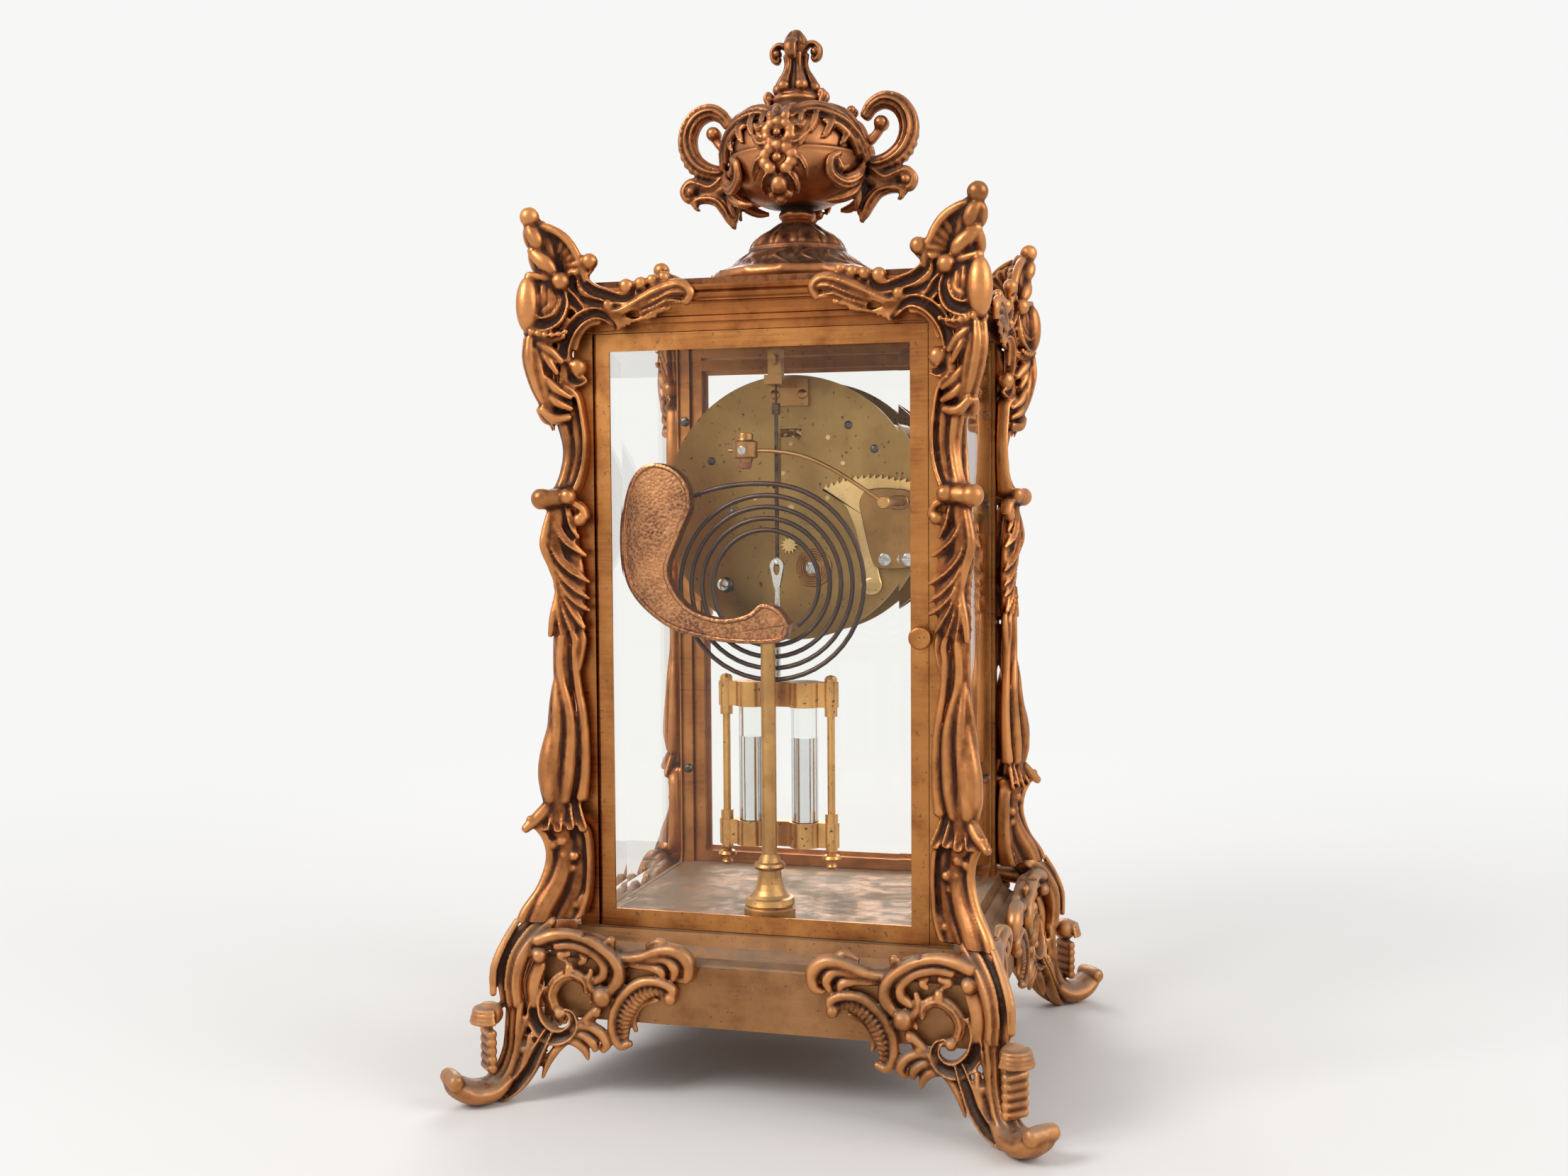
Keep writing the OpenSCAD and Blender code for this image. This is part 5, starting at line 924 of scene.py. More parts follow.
def foot_shell(c):
    """Fluted shell band with its rolled rim."""
    sweep(c, [(46.6, -2, -25.4, 2.4), (47.4, -1.8, -21.6, 2.3), (42, -1.4, -18.8, 2.2),
              (33.8, -1.2, -19.4, 2.3), (26.4, -1, -24.6, 2.4), (21.6, -0.8, -32.6, 2.4),
              (20.6, -1, -41.4, 2.3), (23.6, -1.4, -47.6, 2.1), (28.2, -1.8, -46.6, 1.6)],
          flat=1.1)
    bead(c, 46.6, -1.6, -25.8, 2.9)
    sweep(c, [(44.4, -3, -23, 1.8), (36.6, -2.6, -23.4, 3), (30, -2.4, -28.4, 3.6),
              (25.6, -2.4, -36.4, 3.4), (25, -2.6, -44, 2.4)],
          steps=16, flat=0.8, veins=15, vein_depth=0.3)
    sweep(c, [(40.4, -3.4, -27.2, 1), (33.4, -3, -29.8, 1.2), (29.6, -3, -35.8, 1.3),
              (30.2, -3.2, -41.4, 1.1)], flat=1.1)


def foot_leg(c):
    """Leaves below the knee, and the fluted leg that sweeps down to the toe."""
    strokes(c, [
        [(2.4, 0, -42.6, 2), (8.6, 0, -39.8, 2.2), (14.4, -0.6, -42, 2.5), (17.8, -1, -46.4, 2.5),
         (16, -1.2, -50.4, 1.5)],
        [(2, 0.2, -44.4, 1.8), (7.6, 0.4, -43.8, 2.3), (12, 0, -47, 2.3),
         (12.6, -0.6, -50.2, 1.4)],
        [(-1, 0.6, -46.2, 1.8), (4.4, 0.6, -46.8, 2.4), (8, 0.2, -50, 2),
         (9.4, 0, -54.4, 0.8)],
        [(0, 0.6, -46.4, 1.8), (-4.4, 2.4, -50.6, 2), (-7.6, 4, -56, 1.7),
         (-9.6, 5, -62.4, 0.7)]], flat=1.2)
    sweep(c, [(-7.4, 3.6, -43, 2.2), (-10.6, 5.6, -50, 2.8), (-14, 7.6, -57.6, 3),
              (-19.4, 9.4, -64.6, 3.2), (-26, 10.6, -69, 3)], CHANNEL, flat=1.3)
    strokes(c, [
        [(-14.6, 6, -44, 1.4), (-15.6, 7, -51.4, 2.3), (-18.4, 8.6, -58.4, 2),
         (-23.4, 10, -63.6, 1.4)],
        [(-17, 5.4, -36.6, 1.4), (-19.4, 6.6, -44.6, 2.2), (-20.4, 8, -52.6, 2.2),
         (-23.6, 9.6, -60, 1.6)]], flat=1.2)
    bead(c, -17, 7.6, -50, 2.1)
    bead(c, -26, 11.4, -65, 3)


def foot_corner(c):
    """Shoulder over the edge of the corner, the ribbed cap on its column of rings, and the toe."""
    ridges(c, [
        [(12, 4, 6.5), (18, -3, 6.6), (22, -11, 6.4), (23.4, -20, 5.8), (23, -29, 5.4)],
        [(20.6, 6, 1.6), (25.4, -4, 1.9), (28.6, -14, 2), (29, -25, 1.8)]], section=RIBBED, flat=1.1)
    c.ball((CAP_AT, CAP_AT, -33.4), CAP_R, (1, 1, 0.86), 24)
    for k in range(4):
        z = -31 - 1.7 * k
        r = CAP_R + 0.45 * k
        sweep(c, [(-CAP_AT + r * math.cos(a), CAP_AT + r * math.sin(a), z, 0.8)
                  for a in (math.radians(45 + 30 * i) for i in range(7))], face=UP, steps=3)
    for z in (-41.2, -44.9, -48.6, -52.4, -56.2):
        sweep(c, [(-30.6 + 3.4 * s, 30.6 + 3.4 * s, z, 2.2) for s in (-1, 0, 1)], face=OUT, steps=3)
    ridges(c, [
        [(22, -30, 5.2), (22.6, -40, 5), (23.4, -50, 5.2), (26, -59, 5.6), (30, -64, 5.6)]],
        section=RIBBED, flat=0.9)
    ridges(c, [
        [(25, -62, 4.2), (30, -66, 5.2), (36, -66, 5.4), (41, -62, 4.8), (43, -58, 3.2)]],
        face=ACROSS, flat=1.6)
    sweep(c, [(-46.2, 38.2, -59, 3.6), (-42.2, 42.2, -59, 4), (-38.2, 46.2, -59, 3.6)], face=UP)


# Placing the castings, clear of the doors' swing
CORNERS = (("back_left", 1, 1), ("back_right", -1, 1), ("front_left", -1, -1),
           ("front_right", 1, -1))
FOOT_TOP = 6
CAST_LAP = 1.5
CREST_TOP = 312
DOOR_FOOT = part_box("back_door_frame")[0].z / MM - BASE_TOP - 0.6
DOOR_HEAD = CASE_TOP - BASE_TOP - 3.5
DOOR_SIDE = -8.45
DOOR_FACE = -0.3
CAST_VOXEL, FOOT_VOXEL = 0.66, 0.62


def within(verts, low, high, beside_door):
    """Keeps a casting in its height and out of the doors' way."""
    v = np.array(verts)
    v[:, 2] = np.clip(v[:, 2], low, high)
    for a, b in ((0, 1), (1, 0)):
        inside = (v[:, a] < DOOR_SIDE) & (v[:, b] > DOOR_FACE)
        if beside_door:
            v[inside & (v[:, 2] > 0) & (v[:, 2] < DOOR_HEAD), a] = DOOR_SIDE
        else:
            v[inside & (v[:, 2] > DOOR_FOOT), 2] = DOOR_FOOT
    return v


def place_corners(kind, verts, faces, material):
    """One casting at each corner, mirrored where its corner asks for it."""
    for corner, sx, sy in CORNERS:
        node = kind + "_" + corner
        spots = verts * np.array((sx, sy, 1)) + np.array((sx * CASE_X, sy * CASE_Y, BASE_TOP))
        loops = faces if sx * sy > 0 else [f[::-1] for f in faces]
        make_object(node + "_ornament", spots, loops, MATS[material], "case",
                    (node,), cast=True)


def make_castings():
    c = Clay()
    for work in (crest_shell, crest_volutes, leaf_arm, great_c, drapery, column_frame, acanthus,
                 stems, low_c):
        work(c)
    mirrored(c)
    crest_corner(c)
    column_corner(c)
    verts, faces = fuse(c, CAST_VOXEL)
    verts = within(verts, FOOT_TOP - CAST_LAP, CREST_TOP, True)
    place_corners("casting", verts, faces, "gilt_bronze")


def make_feet():
    c = Clay()
    c.plane = FOOT_PLANE
    for work in (foot_knee, foot_curls, foot_arm, foot_shell, foot_leg):
        work(c)
    mirrored(c)
    c.plane = 0
    foot_corner(c)
    verts, faces = fuse(c, FOOT_VOXEL)
    place_corners("foot", within(verts, -BASE_TOP, FOOT_TOP, False), faces, "foot_bronze")


make_castings()
make_feet()

# Urn, with z from the top of the case and x, y from its own middle
BOWL_MID, BOWL_R = 62, 31
LOW_TIER, HIGH_TIER, TIER_HIGH = 8, 21, 11
URN_VOXEL, FINIAL_VOXEL = 0.62, 0.36


def turned(clay, part, count, start=0.0):
    """Copies a piece of work round the upright axis."""
    for k in range(count):
        turn = math.radians(start + 360 * k / count)
        c, s = math.cos(turn), math.sin(turn)
        clay.add([(x * c - y * s, x * s + y * c, z) for x, y, z in part.verts], part.faces)


def in_plane(clay, rows, y=0.0, **kw):
    """Strokes of (x, z, half width) that lie in a plane of constant y."""
    strokes(clay, [[(-x, y, z, w) for x, z, w in row] for row in rows], **kw)


def on_bowl(clay, rows, **kw):
    """Strokes of (radius, degrees from the handle, z, half width) laid round the bowl."""
    strokes(clay, [[(-r * math.cos(math.radians(a)), r * math.sin(math.radians(a)), z, w)
                    for r, a, z, w in row] for row in rows], face=RADIAL, **kw)


def berry(clay, r, degrees, z, size, squash=(1, 1, 1)):
    a = math.radians(degrees)
    clay.ball((r * math.cos(a), r * math.sin(a), z), size, squash)


def smooth_outline(rows, steps=5):
    return [tuple(p) for p in spline(rows, steps)]


def socle_relief(a, r, z):
    """S-scrolls on the lower tier and hanging leaves on the upper one."""
    if LOW_TIER < z < LOW_TIER + TIER_HIGH and r > 20:
        t, v = (z - LOW_TIER) / TIER_HIGH, (a * 14 / (2 * math.pi)) % 1 - 0.5
        scroll = math.exp(-((v - 0.26 * math.sin(2 * math.pi * t)) / 0.11) ** 2)
        bud = math.exp(-((abs(v) - 0.4) ** 2 + (t - 0.62) ** 2 * 0.6) / 0.012)
        return (1.5 * scroll + 1.1 * bud) * math.sin(math.pi * t) ** 0.5
    if HIGH_TIER < z < HIGH_TIER + TIER_HIGH and r > 8:
        t, v = (z - HIGH_TIER) / TIER_HIGH, (a * 12 / (2 * math.pi)) % 1 - 0.5
        half = 0.44 * math.sin(math.pi * (0.12 + 0.72 * t)) ** 0.7
        leaf = max(0.0, 1 - (abs(v) / half) ** 2) - 0.7 * math.exp(-(v / 0.07) ** 2)
        return 1.5 * leaf * math.sin(math.pi * t) ** 0.6
    return 0.0


def urn_socle_work():
    """Stepped foot of the urn."""
    c = Clay()
    lower = smooth_outline([(38.8, 9.4), (34, 11), (30, 13.2), (26.6, 15.8), (24.4, 17.8),
                            (23.2, 19)], 7)
    upper = smooth_outline([(21.8, 21.4), (20.2, 23.6), (17.2, 26.6), (12.4, 29.6), (9.4, 32.4),
                            (7, 33.8)], 7)
    c.lathe([(1, 0), (40, 0), (40, 1.8), (39, 2.6), (38.2, 3.4), (38.6, 4.6), (39.6, 5.6),
             (39.8, 7.4)] + lower + [(22.9, 19.4), (22.9, 20.8)] + upper + [(1, 33.8)], 336,
            socle_relief)
    return c


def urn_vase_work():
    """Bowl, its stem and its neck."""
    c = Clay()
    low = [(BOWL_R * math.cos(t) ** 0.82, BOWL_MID + 23 * math.sin(t))
           for t in np.radians(np.linspace(-66, -2, 18))]
    high = [(BOWL_R * math.cos(t) ** 0.5 - 0.5, BOWL_MID + 18.5 * math.sin(t))
            for t in np.radians(np.linspace(2, 68, 18))]
    c.lathe([(1, 33.6), (6.8, 33.8)]
            + smooth_outline([(7.4, 34.6), (8.4, 36), (8.2, 37.6), (7.4, 38.8), (8.6, 40.2)], 3)
            + low + [(BOWL_R + 0.2, BOWL_MID - 0.3), (BOWL_R + 0.2, BOWL_MID + 0.3)] + high
            + smooth_outline([(14.4, 79.4), (13.4, 81.4), (11.6, 83.6), (10.6, 86.4), (11, 88.8),
                              (9.6, 90.4)], 4) + [(8, 91), (1, 91)], 180)
    return c


def urn_handle(c):
    """Ribbed C with a scalloped back and a ball in its eye, over a scroll and a leaf."""
    in_plane(c, [
        [(32.4, 79.6, 2.6), (35.4, 83.8, 3.2), (41, 86.2, 3.8), (47.4, 84, 4.2), (51.4, 78.4, 4.4),
         (52.2, 71.4, 4.4), (49.4, 64.6, 4.2), (44, 60, 3.9), (38, 58.2, 3.4), (32, 58.8, 2.6)]],
        1.4, section=RIBBED, flat=0.95)
    for k in range(15):
        a = math.radians(-112 + 14.6 * k)
        c.ball((42.8 + 12.2 * math.cos(a), 0.6, 72.4 + 15.2 * math.sin(a)), 2.1, (1, 1.3, 1), 12)
    c.ball((39.6, 0.8, 76), 3.5, (1, 1.25, 1))
    in_plane(c, [[(39.4, 75, 2.2), (37.4, 71.4, 2), (34.4, 68.6, 2.4)]], 0.6)
    in_plane(c, [
        [(35, 55.6, 2.4), (41, 51.4, 2.8), (46.4, 53, 2.5), (51, 54.2, 2.2), (54.2, 50.6, 2.1),
         (52.4, 46.8, 1.9), (49, 47.6, 1.4)],
        [(50.4, 44.6, 1.2), (47.4, 46.4, 2), (43, 47, 2.6), (37.6, 45.6, 3.2), (33.6, 41.4, 3.5),
         (31.6, 36.8, 2.7), (30.2, 32.6, 1)]], 1.2, section=RIBBED, flat=0.95)
    in_plane(c, [
        [(28, 57, 3), (29.6, 49, 3.6), (30, 41, 3), (29.8, 36, 1.6)],
        [(34, 51, 3), (40, 48.6, 2.8), (46, 50, 2)]], 0.6, flat=0.7)
    c.ball((50.6, 1, 50.2), 2.6, (1, 1.2, 1))
    in_plane(c, [[(48.6, 46.4, 1.4), (48.8, 43.2, 1.3), (47.4, 41.6, 0.8)]], 0.8)


def urn_leaves(c):
    """Swag and leaves laid over the bowl, with their hanging tips and berries."""
    on_bowl(c, [
        [(34, 8, 59.6, 2.6), (33, 17, 67, 3.4), (30, 29, 74, 4), (26.4, 43, 78, 4.2), (23.6, 58, 79.6, 4),
         (23, 72, 78.4, 3.4), (25.4, 82, 75.4, 2.4)]], section=RIBBED, flat=0.95)
    on_bowl(c, [
        [(33.4, 10, 66, 1.6), (29.4, 20, 77, 2), (24.4, 34, 81, 2.1), (19.4, 52, 81.8, 1.8),
         (16.4, 68, 81, 1.4)],
        [(32.2, 17, 61, 1.4), (32, 27, 67.4, 1.8), (30.4, 38, 72, 1.8), (28.4, 50, 74, 1.2)]])
    on_bowl(c, [
        [(29, 26, 75, 1.6), (31.4, 29, 70, 2.3), (31.8, 34, 65.4, 2), (31.4, 38, 63.6, 0.9)],
        [(27, 40, 77.6, 1.6), (30, 44, 72.6, 2.4), (31, 50, 67.6, 2.1), (31.2, 54, 66, 0.9)],
        [(25.4, 54, 78.4, 1.6), (29, 58, 74, 2.3), (30.6, 63, 69.6, 1.9), (31, 66, 68.4, 0.9)],
        [(25, 68, 78, 1.6), (28.4, 71, 74.4, 2), (30.4, 74, 71.4, 1)]], section=BLADE, flat=1.1)
    on_bowl(c, [
        [(33, 10, 56, 2), (33, 20, 50.6, 3), (31.2, 33, 47.6, 3.2), (31, 45, 50.4, 2.9),
         (32.2, 47, 56.4, 2.2), (32.4, 39, 59.6, 1.6)],
        [(31.6, 8, 52, 2.6), (29.6, 17, 45, 3), (26, 28, 41.4, 2.4), (22.4, 38, 40.4, 1.2)],
        [(31, 12, 49, 2), (30.6, 11, 42, 2.2), (28.8, 9, 37, 1.2)]], section=RIBBED, flat=0.9)
    on_bowl(c, [[(32, 30, 54.6, 1.3), (32, 37, 53.4, 1.7), (32.2, 40, 56.4, 1.2)]])
    berry(c, 20, 79, 80.6, 2.9)
    berry(c, 26.4, 6, 82, 2.3)
    berry(c, 31.4, 84, 75, 2.4)


def urn_flowers(c):
    """Half of the drop of flowers, leaves and a bud on the middle of a side."""
    on_bowl(c, [[(24, 84, 80, 1.8), (28, 86, 76.6, 2.4), (31, 88, 72, 2)]])
    for z, r, size in ((67.4, 32.6, 2.7), (56.4, 33, 3.1)):
        for k in range(5):
            t = math.radians(90 + 36 * k)
            berry(c, r, 90 + 1.75 * size * math.cos(t) * 2, z + 1.75 * size * math.sin(t), size,
                  (1, 0.7, 1))
        berry(c, r + 1.6, 90, z, size * 0.7)
    on_bowl(c, [
        [(31.8, 82, 64, 1.4), (33, 76, 63, 2.6), (32.4, 70, 66, 2), (31.6, 66, 68, 0.9)],
        [(32.4, 80, 58, 1.4), (33.2, 74, 56, 2.8), (32.4, 69, 51.6, 2.3), (31, 67, 48, 0.9)],
        [(32, 86, 52, 1.6), (32.4, 80, 48.6, 2.9), (30.6, 76, 44.6, 2.3), (28, 75, 41.4, 0.9)],
        [(31, 78, 72.4, 1.2), (31.6, 72, 70.4, 1.9), (31.6, 68, 72.6, 1)]], section=BLADE, flat=1.2)
    berry(c, 30.6, 90, 45.4, 4.2, (1, 1, 1.1))
    berry(c, 28.4, 84, 41.6, 2.5)
    berry(c, 27.6, 90, 39.4, 2.6)


def urn_ornament_work():
    """Four mirrored quarters of handle, leaves and flowers."""
    quarter = Clay()
    for work in (urn_handle, urn_leaves, urn_flowers):
        work(quarter)
    c = Clay()
    for sx, sy in ((1, 1), (-1, 1), (-1, -1), (1, -1)):
        c.add([(x * sx, y * sy, z) for x, y, z in quarter.verts],
              quarter.faces if sx * sy > 0 else [f[::-1] for f in quarter.faces])
    return c


def urn_finial_work():
    """Lid with side scrolls, hanging drops, curled petals and a bud."""
    c = Clay()
    side = Clay()
    for y in (-2.6, 2.6):
        in_plane(side, [
            [(14.4, 80, 1.7), (12.6, 83, 1.6), (12.2, 87, 1.6), (13.6, 90, 1.5), (12.6, 92, 1.2),
             (11, 90.8, 1)]], y, flat=1.4)
        side.ball((12, y, 89.6), 2.1)
    turned(c, side, 2)
    drop = Clay()
    drop.ball((8.2, 0, 94), 3.1)
    in_plane(drop, [
        [(8, 94.6, 2.8), (6.8, 98, 2.1), (5.2, 101.4, 1.5), (4.4, 105, 1.3), (4.8, 109, 1.4)]])
    turned(c, drop, 6)
    petal = Clay()
    in_plane(petal, [
        [(2.6, 110.6, 2), (5.6, 113.4, 1.6), (8.6, 113.8, 1.5), (10.9, 111.4, 1.5), (10.8, 108, 1.4),
         (8.8, 106.4, 1.2), (7.6, 108, 0.9)]], flat=1.9)
    petal.ball((8.9, 0, 110.2), 2.2, (1, 1.3, 1))
    turned(c, petal, 4)
    bud = Clay()
    in_plane(bud, [
        [(2.8, 109.4, 1.8), (3.7, 112.6, 2.1), (3.6, 115.4, 1.9), (2.2, 118.4, 1.4), (0.8, 119.8, 0.9)]])
    turned(c, bud, 6, 30)
    c.lathe([(0.8, 82), (10.4, 82), (9.4, 91), (7, 93), (5.4, 97), (4, 101), (3.4, 106),
             (3.4, 112), (2.6, 117), (0.8, 118.6)], 48)
    return c


def urn_piece(name, clay, voxel, hides):
    """Urn casting, melted into one skin unless voxel is 0."""
    verts, faces = fuse(clay, voxel) if voxel else (np.array(clay.verts), clay.faces)
    make_object(name, verts + np.array((0, 0, URN_Z)), faces, MATS["urn_bronze"], "case",
                (hides,), cast=True)


urn_piece("urn_socle_relief", urn_socle_work(), 0, "urn_socle")
urn_piece("urn_vase", urn_vase_work(), 0, "urn_body")
urn_piece("urn_ornament", urn_ornament_work(), URN_VOXEL, "urn_handles")
urn_piece("urn_top", urn_finial_work(), FINIAL_VOXEL, "urn_finial")

# Movement and gong, with x and z from the hand centre
gong_lo, gong_hi = (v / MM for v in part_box("gong_coil"))
bracket_lo, bracket_hi = (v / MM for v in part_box("gong_bracket"))
GONG_Y = (gong_lo.y + gong_hi.y) / 2
WIRE_R = (gong_hi.y - gong_lo.y) / 2
GONG_AT = (1.5, -33.4)
GONG_BOSS = (41.2, 2.8)
BRACKET_THICK = 6
GONG_R, GONG_PITCH, GONG_START = 44.5, 5, 53
GONG_STEP, GONG_STEPS = 7.5, 216
RACK_AT, HAMMER_AT, COCK_FOOT = (-37.5, -34.5), (-50, 2), (-54, -18)
COCK_SCREWS = (((-44.6, -23.2), 8), ((-53, -23.2), 4))
HEAD_AT = (11.4, 25)
CLICK_AT, PIVOT_CAP = (-10.3, -27.2), (32, -35)
RACK_Y = PLATE_BACK + 1
COCK_Y = RACK_Y + 3.4
BRACKET = [(-10.5, -50), (-6, -43.5), (1.5, -41), (9, -46), (22, -47.6), (36, -42), (44.2, -28),
           (39, -12), (33.4, 2), (38, 15), (51, 20), (61, 12), (65.5, -10), (62.5, -34),
           (47, -50), (28, -56.5), (8, -58.4), (-7, -57)]
COCK = [(-36.8, 8), (-34.6, 6), (-33, 2), (-33.8, -3), (-36, -13.6), (-38.4, -22.6),
        (-40.6, -26.6), (-46, -27.6), (-52, -27), (-56, -24.6), (-57, -18), (-57, -4),
        (-56.6, 4), (-52, 7.6), (-44, 8.6)]


def closed_loop(points, steps):
    """Smooth closed curve through points."""
    return spline(points + [points[0]], steps)[:-1]


def inset_loop(outline, d):
    """The same closed outline, drawn in by d."""
    p = np.array(outline, float)
    t = np.roll(p, -1, 0) - np.roll(p, 1, 0)
    t /= np.linalg.norm(t, axis=1)[:, None]
    turn = np.sign(np.sum(p[:, 0] * np.roll(p[:, 1], -1) - np.roll(p[:, 0], -1) * p[:, 1]))
    return p + turn * d * np.stack([-t[:, 1], t[:, 0]], 1)


def flat_plate(clay, outline, steps):
    """Plate from an outline in x and z; steps is (inset, y) from the front backwards."""
    clay.grid([[(x, y, z) for x, z in inset_loop(outline, inset)] for inset, y in steps])


def eased(y0, y1, bevel):
    """Steps of a plate with both edges broken."""
    return [(bevel, y0), (0, y0 + bevel), (0, y1 - bevel), (bevel, y1)]


def disc(clay, at, outline, sides=40):
    """Turned piece with its axis along y; outline is (radius, y) from the plate outwards."""
    clay.grid([[(at[0] + r * math.cos(a), y, at[1] + r * math.sin(a)) for a in around(sides)]
               for r, y in outline])


def upright(clay, at, y, outline, sides):
    """Turned piece with its axis along z; outline is (radius, z above at) from below."""
    clay.grid([[(at[0] + r * math.cos(a), y + r * math.sin(a), at[1] + z) for a in around(sides)]
               for r, z in outline])


def slotted(clay, at, y, r, high, angle):
    """Screw head with its slot, as two halves with a floor between them."""
    disc(clay, at, [(r, y), (r, y + high * 0.5)])
    for start in (math.pi, 0):
        turn = math.radians(angle) + start
        loop = np.array([(at[0] + r * 0.98 * math.cos(t), at[1] + r * 0.98 * math.sin(t))
                         for t in np.linspace(turn + 0.16, turn + math.pi - 0.16, 14)])
        centre = np.mean(loop, 0)
        clay.grid([[(x, y + high * up, z) for x, z in centre + (loop - centre) * size]
                   for size, up in ((1, 0.3), (1, 0.75), (0.9, 0.95), (0.8, 1))])


def works(name, clay, material, body, hides=()):
    """Piece of the movement, placed from the hand centre, with its edges kept sharp."""
    verts = np.array(clay.verts) + np.array((0, 0, CENTRE_Z))
    obj = make_object(name, verts, clay.faces, MATS[material], body, hides)
    obj.data.set_sharp_from_angle(angle=math.radians(32))


def make_gong():
    """Coil that leaves its block in an easy curve, and the block's cast bracket."""
    c = Clay()
    rows = [(-39.5, GONG_Y, 3.4, WIRE_R)]
    for k in range(GONG_STEPS + 1):
        t = GONG_STEP * k
        a = math.radians(GONG_START + t)
        r = GONG_R - GONG_PITCH * t / 360 + 6 * max(0, 1 - t / 40) ** 2
        rows.append((-(GONG_AT[0] + r * math.cos(a)), GONG_Y, GONG_AT[1] + r * math.sin(a), WIRE_R))
    sweep(c, rows, steps=1, round_ends=False)
    works("gong_wire", c, "gong_steel", "case", ("gong_coil",))
    c = Clay()
    front, face = bracket_lo.y + BRACKET_THICK, bracket_hi.y
    flat_plate(c, closed_loop(BRACKET, 9),
               [(0.4, front), (0, front + 0.4), (0, face - 0.7), (0.25, face - 0.2), (0.7, face),
                (1.4, face), (1.8, face - 0.25), (2.0, face - 0.9), (2.2, face - 1.1)])
    disc(c, GONG_BOSS, [(3, GONG_Y - 2.4), (3, face - 2)])
    works("gong_block", c, "gong_bronze", "case", ("gong_bracket",))


def rack_outline():
    """Toothed arc, the blade under it, the hub and the tail, from the hand centre."""
    teeth = []
    for i in range(15):
        a = 113 - 3.4 * i
        teeth += [(49.5, a), (47.7, a - 2.6), (47.7, a - 3.1)]
    rack = [(r * math.cos(math.radians(a)), r * math.sin(math.radians(a))) for r, a in teeth]
    rack += smooth_outline([(21.4, 42.8), (20, 40.6), (17.4, 39.1), (14.2, 37.6), (11.2, 34.6),
                            (9.2, 30.2), (6.8, 24), (4.6, 14), (4.4, 5)], 4)
    rack += [(4.8 * math.cos(a), 4.8 * math.sin(a)) for a in np.radians(np.arange(30, -215, -12))]
    rack += smooth_outline([(-3.4, 6), (-1.4, 16), (0.6, 26), (2.6, 34), (-1, 39.6), (-8, 41.6),
                            (-15.6, 39)], 4)
    return [(x + RACK_AT[0], z + RACK_AT[1]) for x, z in rack]


def make_rack():
    c = Clay()
    flat_plate(c, rack_outline(), eased(RACK_Y, RACK_Y + 1.4, 0.25))
    disc(c, RACK_AT, [(3, PLATE_BACK + 0.3), (3, RACK_Y + 1.6), (2.6, RACK_Y + 1.8),
                      (2.6, RACK_Y + 2), (1.5, RACK_Y + 2.1), (1.5, RACK_Y + 2.9)])
    works("rack_plate", c, "pale_brass", "rack_body", ("rack",))


def make_cock():
    """Cock over the star wheel, its foot, the hammer's bush and two screws."""
    c = Clay()
    flat_plate(c, closed_loop(COCK, 5), eased(COCK_Y, COCK_Y + 1.6, 0.4))
    disc(c, COCK_FOOT, [(2.2, PLATE_BACK), (2.2, COCK_Y + 0.2)])
    disc(c, HAMMER_AT, [(3.2, COCK_Y + 1.5), (3.2, COCK_Y + 2.2), (2.8, COCK_Y + 2.5)])
    works("strike_cock", c, "cock_brass", "case", ("strike_bridge",))
    c = Clay()
    for at, angle in COCK_SCREWS:
        slotted(c, at, COCK_Y + 1.5, 2.9, 1.5, angle)
    works("cock_screws", c, "bright_steel", "case")


def make_hammer():
    """Bent wire on its hub, the turned head, its set screw and the leather tip."""
    c = Clay()
    head = smooth_outline([(3.2, 7.6), (3.5, 7.2), (3.6, 5), (3.9, 4.4)], 2) + [
        (5.1, 4.1), (5.4, 3.7), (5.4, -2.7), (5.1, -3.1), (3.6, -3.4), (3.3, -4.2), (3, -5.2)]
    upright(c, HEAD_AT, GONG_Y, head[::-1], 48)
    sweep(c, [(u, GONG_Y, z, 0.85) for u, z in ((50, 2), (45, 5.4), (36, 11.4), (25.5, 17.6),
                                                (14, 22.4), (2, 24.6), (-9, 25), (-18.6, 25.2))])
    disc(c, HAMMER_AT, [(1.5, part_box("hammer")[0].y / MM), (1.5, GONG_Y - 2), (2.8, GONG_Y - 1.8),
                        (2.8, GONG_Y + 1.6), (2.4, GONG_Y + 2), (1.2, GONG_Y + 2)])
    works("hammer_work", c, "aged_brass", "hammer_body", ("hammer",))
    c = Clay()
    slotted(c, HEAD_AT, GONG_Y + 4.9, 1.9, 1.1, 55)
    works("hammer_screw", c, "bright_steel", "hammer_body")
    c = Clay()
    upright(c, HEAD_AT, GONG_Y, ((1, -8), (2, -7.9), (2.6, -7.4), (2.8, -6.6), (2.8, -5)), 32)
    works("hammer_tip", c, "leather", "hammer_body")


def make_plate_ends():
    """Ringed click boss with its screw, and a domed pivot cap."""
    c = Clay()
    rings = [(8.8, PLATE_BACK)]
    for k in range(5):
        r = 8.6 - 1.1 * k
        rings += [(r, PLATE_BACK + 0.9), (r - 0.35, PLATE_BACK + 1.15), (r - 0.75, PLATE_BACK + 1.15)]
    disc(c, CLICK_AT, rings, 64)
    works("click_boss", c, "aged_brass", "case")
    c = Clay()
    slotted(c, CLICK_AT, PLATE_BACK + 2, 2.8, 1.3, 120)
    disc(c, PIVOT_CAP, [(3.4, PLATE_BACK), (3.3, PLATE_BACK + 1.4), (2.6, PLATE_BACK + 2.6),
                        (1.4, PLATE_BACK + 3.2), (0.3, PLATE_BACK + 3.3)])
    works("plate_ends", c, "bright_steel", "case")


make_gong()
make_rack()
make_cock()
make_hammer()
make_plate_ends()

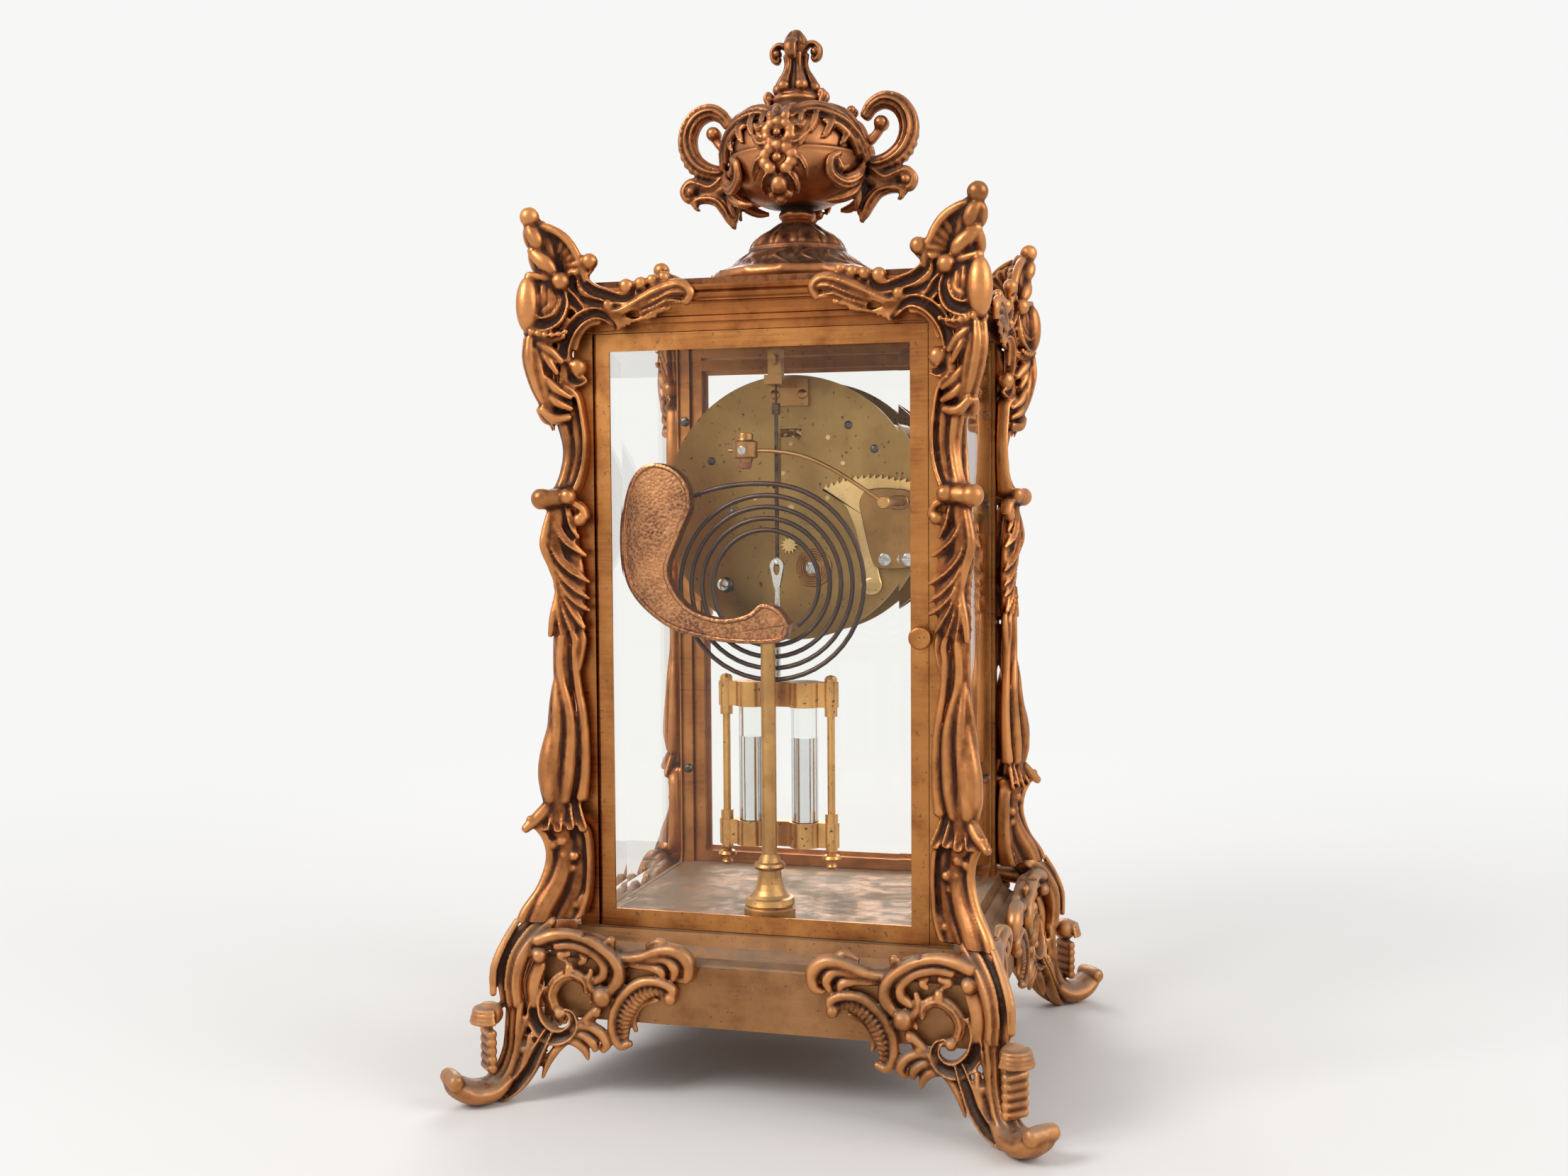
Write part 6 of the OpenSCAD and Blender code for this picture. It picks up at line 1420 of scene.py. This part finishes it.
# Dial figures as strokes in a box 0.6 wide and 1 high
SIX = [(0.5, 0.98), (0.2, 0.74), (0.02, 0.34), (0.14, 0.04), (0.4, 0.02), (0.58, 0.26),
       (0.44, 0.52), (0.2, 0.5), (0.04, 0.3)]
FIGURES = {
    "0": [[(0.3, 1), (0.06, 0.78), (0, 0.5), (0.06, 0.22), (0.3, 0), (0.54, 0.22), (0.6, 0.5),
           (0.54, 0.78), (0.3, 1)]],
    "1": [[(0.1, 0.78), (0.32, 1)], [(0.32, 1), (0.32, 0)]],
    "2": [[(0.04, 0.74), (0.14, 0.95), (0.36, 1), (0.56, 0.82), (0.46, 0.55), (0.02, 0)],
          [(0.02, 0), (0.6, 0)]],
    "3": [[(0.04, 0.84), (0.26, 1), (0.52, 0.82), (0.44, 0.6), (0.24, 0.53)],
          [(0.24, 0.53), (0.5, 0.44), (0.58, 0.22), (0.34, 0), (0.02, 0.14)]],
    "4": [[(0.44, 0), (0.44, 1)], [(0.44, 1), (0, 0.3)], [(0, 0.3), (0.62, 0.3)]],
    "5": [[(0.54, 1), (0.12, 1)], [(0.12, 1), (0.08, 0.55)],
          [(0.08, 0.55), (0.34, 0.64), (0.58, 0.36), (0.4, 0.02), (0.02, 0.1)]],
    "6": [SIX],
    "7": [[(0.02, 1), (0.6, 1)], [(0.6, 1), (0.36, 0.55), (0.22, 0)]],
    "8": [[(0.3, 1), (0.08, 0.8), (0.3, 0.54), (0.56, 0.24), (0.3, 0), (0.04, 0.24),
           (0.3, 0.54), (0.52, 0.8), (0.3, 1)]],
    "9": [[(0.6 - x, 1 - z) for x, z in SIX]],
}
FIGURE_HIGH, FIGURE_WIDE, FIGURE_STEP = 8.4, 0.6, 0.72
FIGURE_RING, DOT_RING = 39.5, 49.5
FIGURE_LINE, INK_FLAT = 0.62, 0.25
HOUR_DOT, MINUTE_DOT = 0.8, 0.42


def make_dial_figures():
    """Hours round the dial, and a dot for each minute."""
    c = Clay()
    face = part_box("dial")[0].y / MM
    for hour in range(1, 13):
        turn = math.radians(90 - 30 * hour)
        mark = str(hour)
        wide = FIGURE_WIDE + FIGURE_STEP * (len(mark) - 1)
        low = FIGURE_RING * math.sin(turn) - FIGURE_HIGH / 2
        for i, figure in enumerate(mark):
            left = FIGURE_RING * math.cos(turn) + (FIGURE_STEP * i - wide / 2) * FIGURE_HIGH
            strokes(c, [[(-left - x * FIGURE_HIGH, face, low + z * FIGURE_HIGH, FIGURE_LINE)
                         for x, z in line] for line in FIGURES[figure]],
                    face=(0, -1, 0), flat=INK_FLAT)
    for minute in range(60):
        turn = math.radians(6 * minute)
        c.ball((DOT_RING * math.cos(turn), face, DOT_RING * math.sin(turn)),
               MINUTE_DOT if minute % 5 else HOUR_DOT, (1, INK_FLAT, 1), 12)
    works("dial_figures", c, "black_paint", "case")


make_dial_figures()
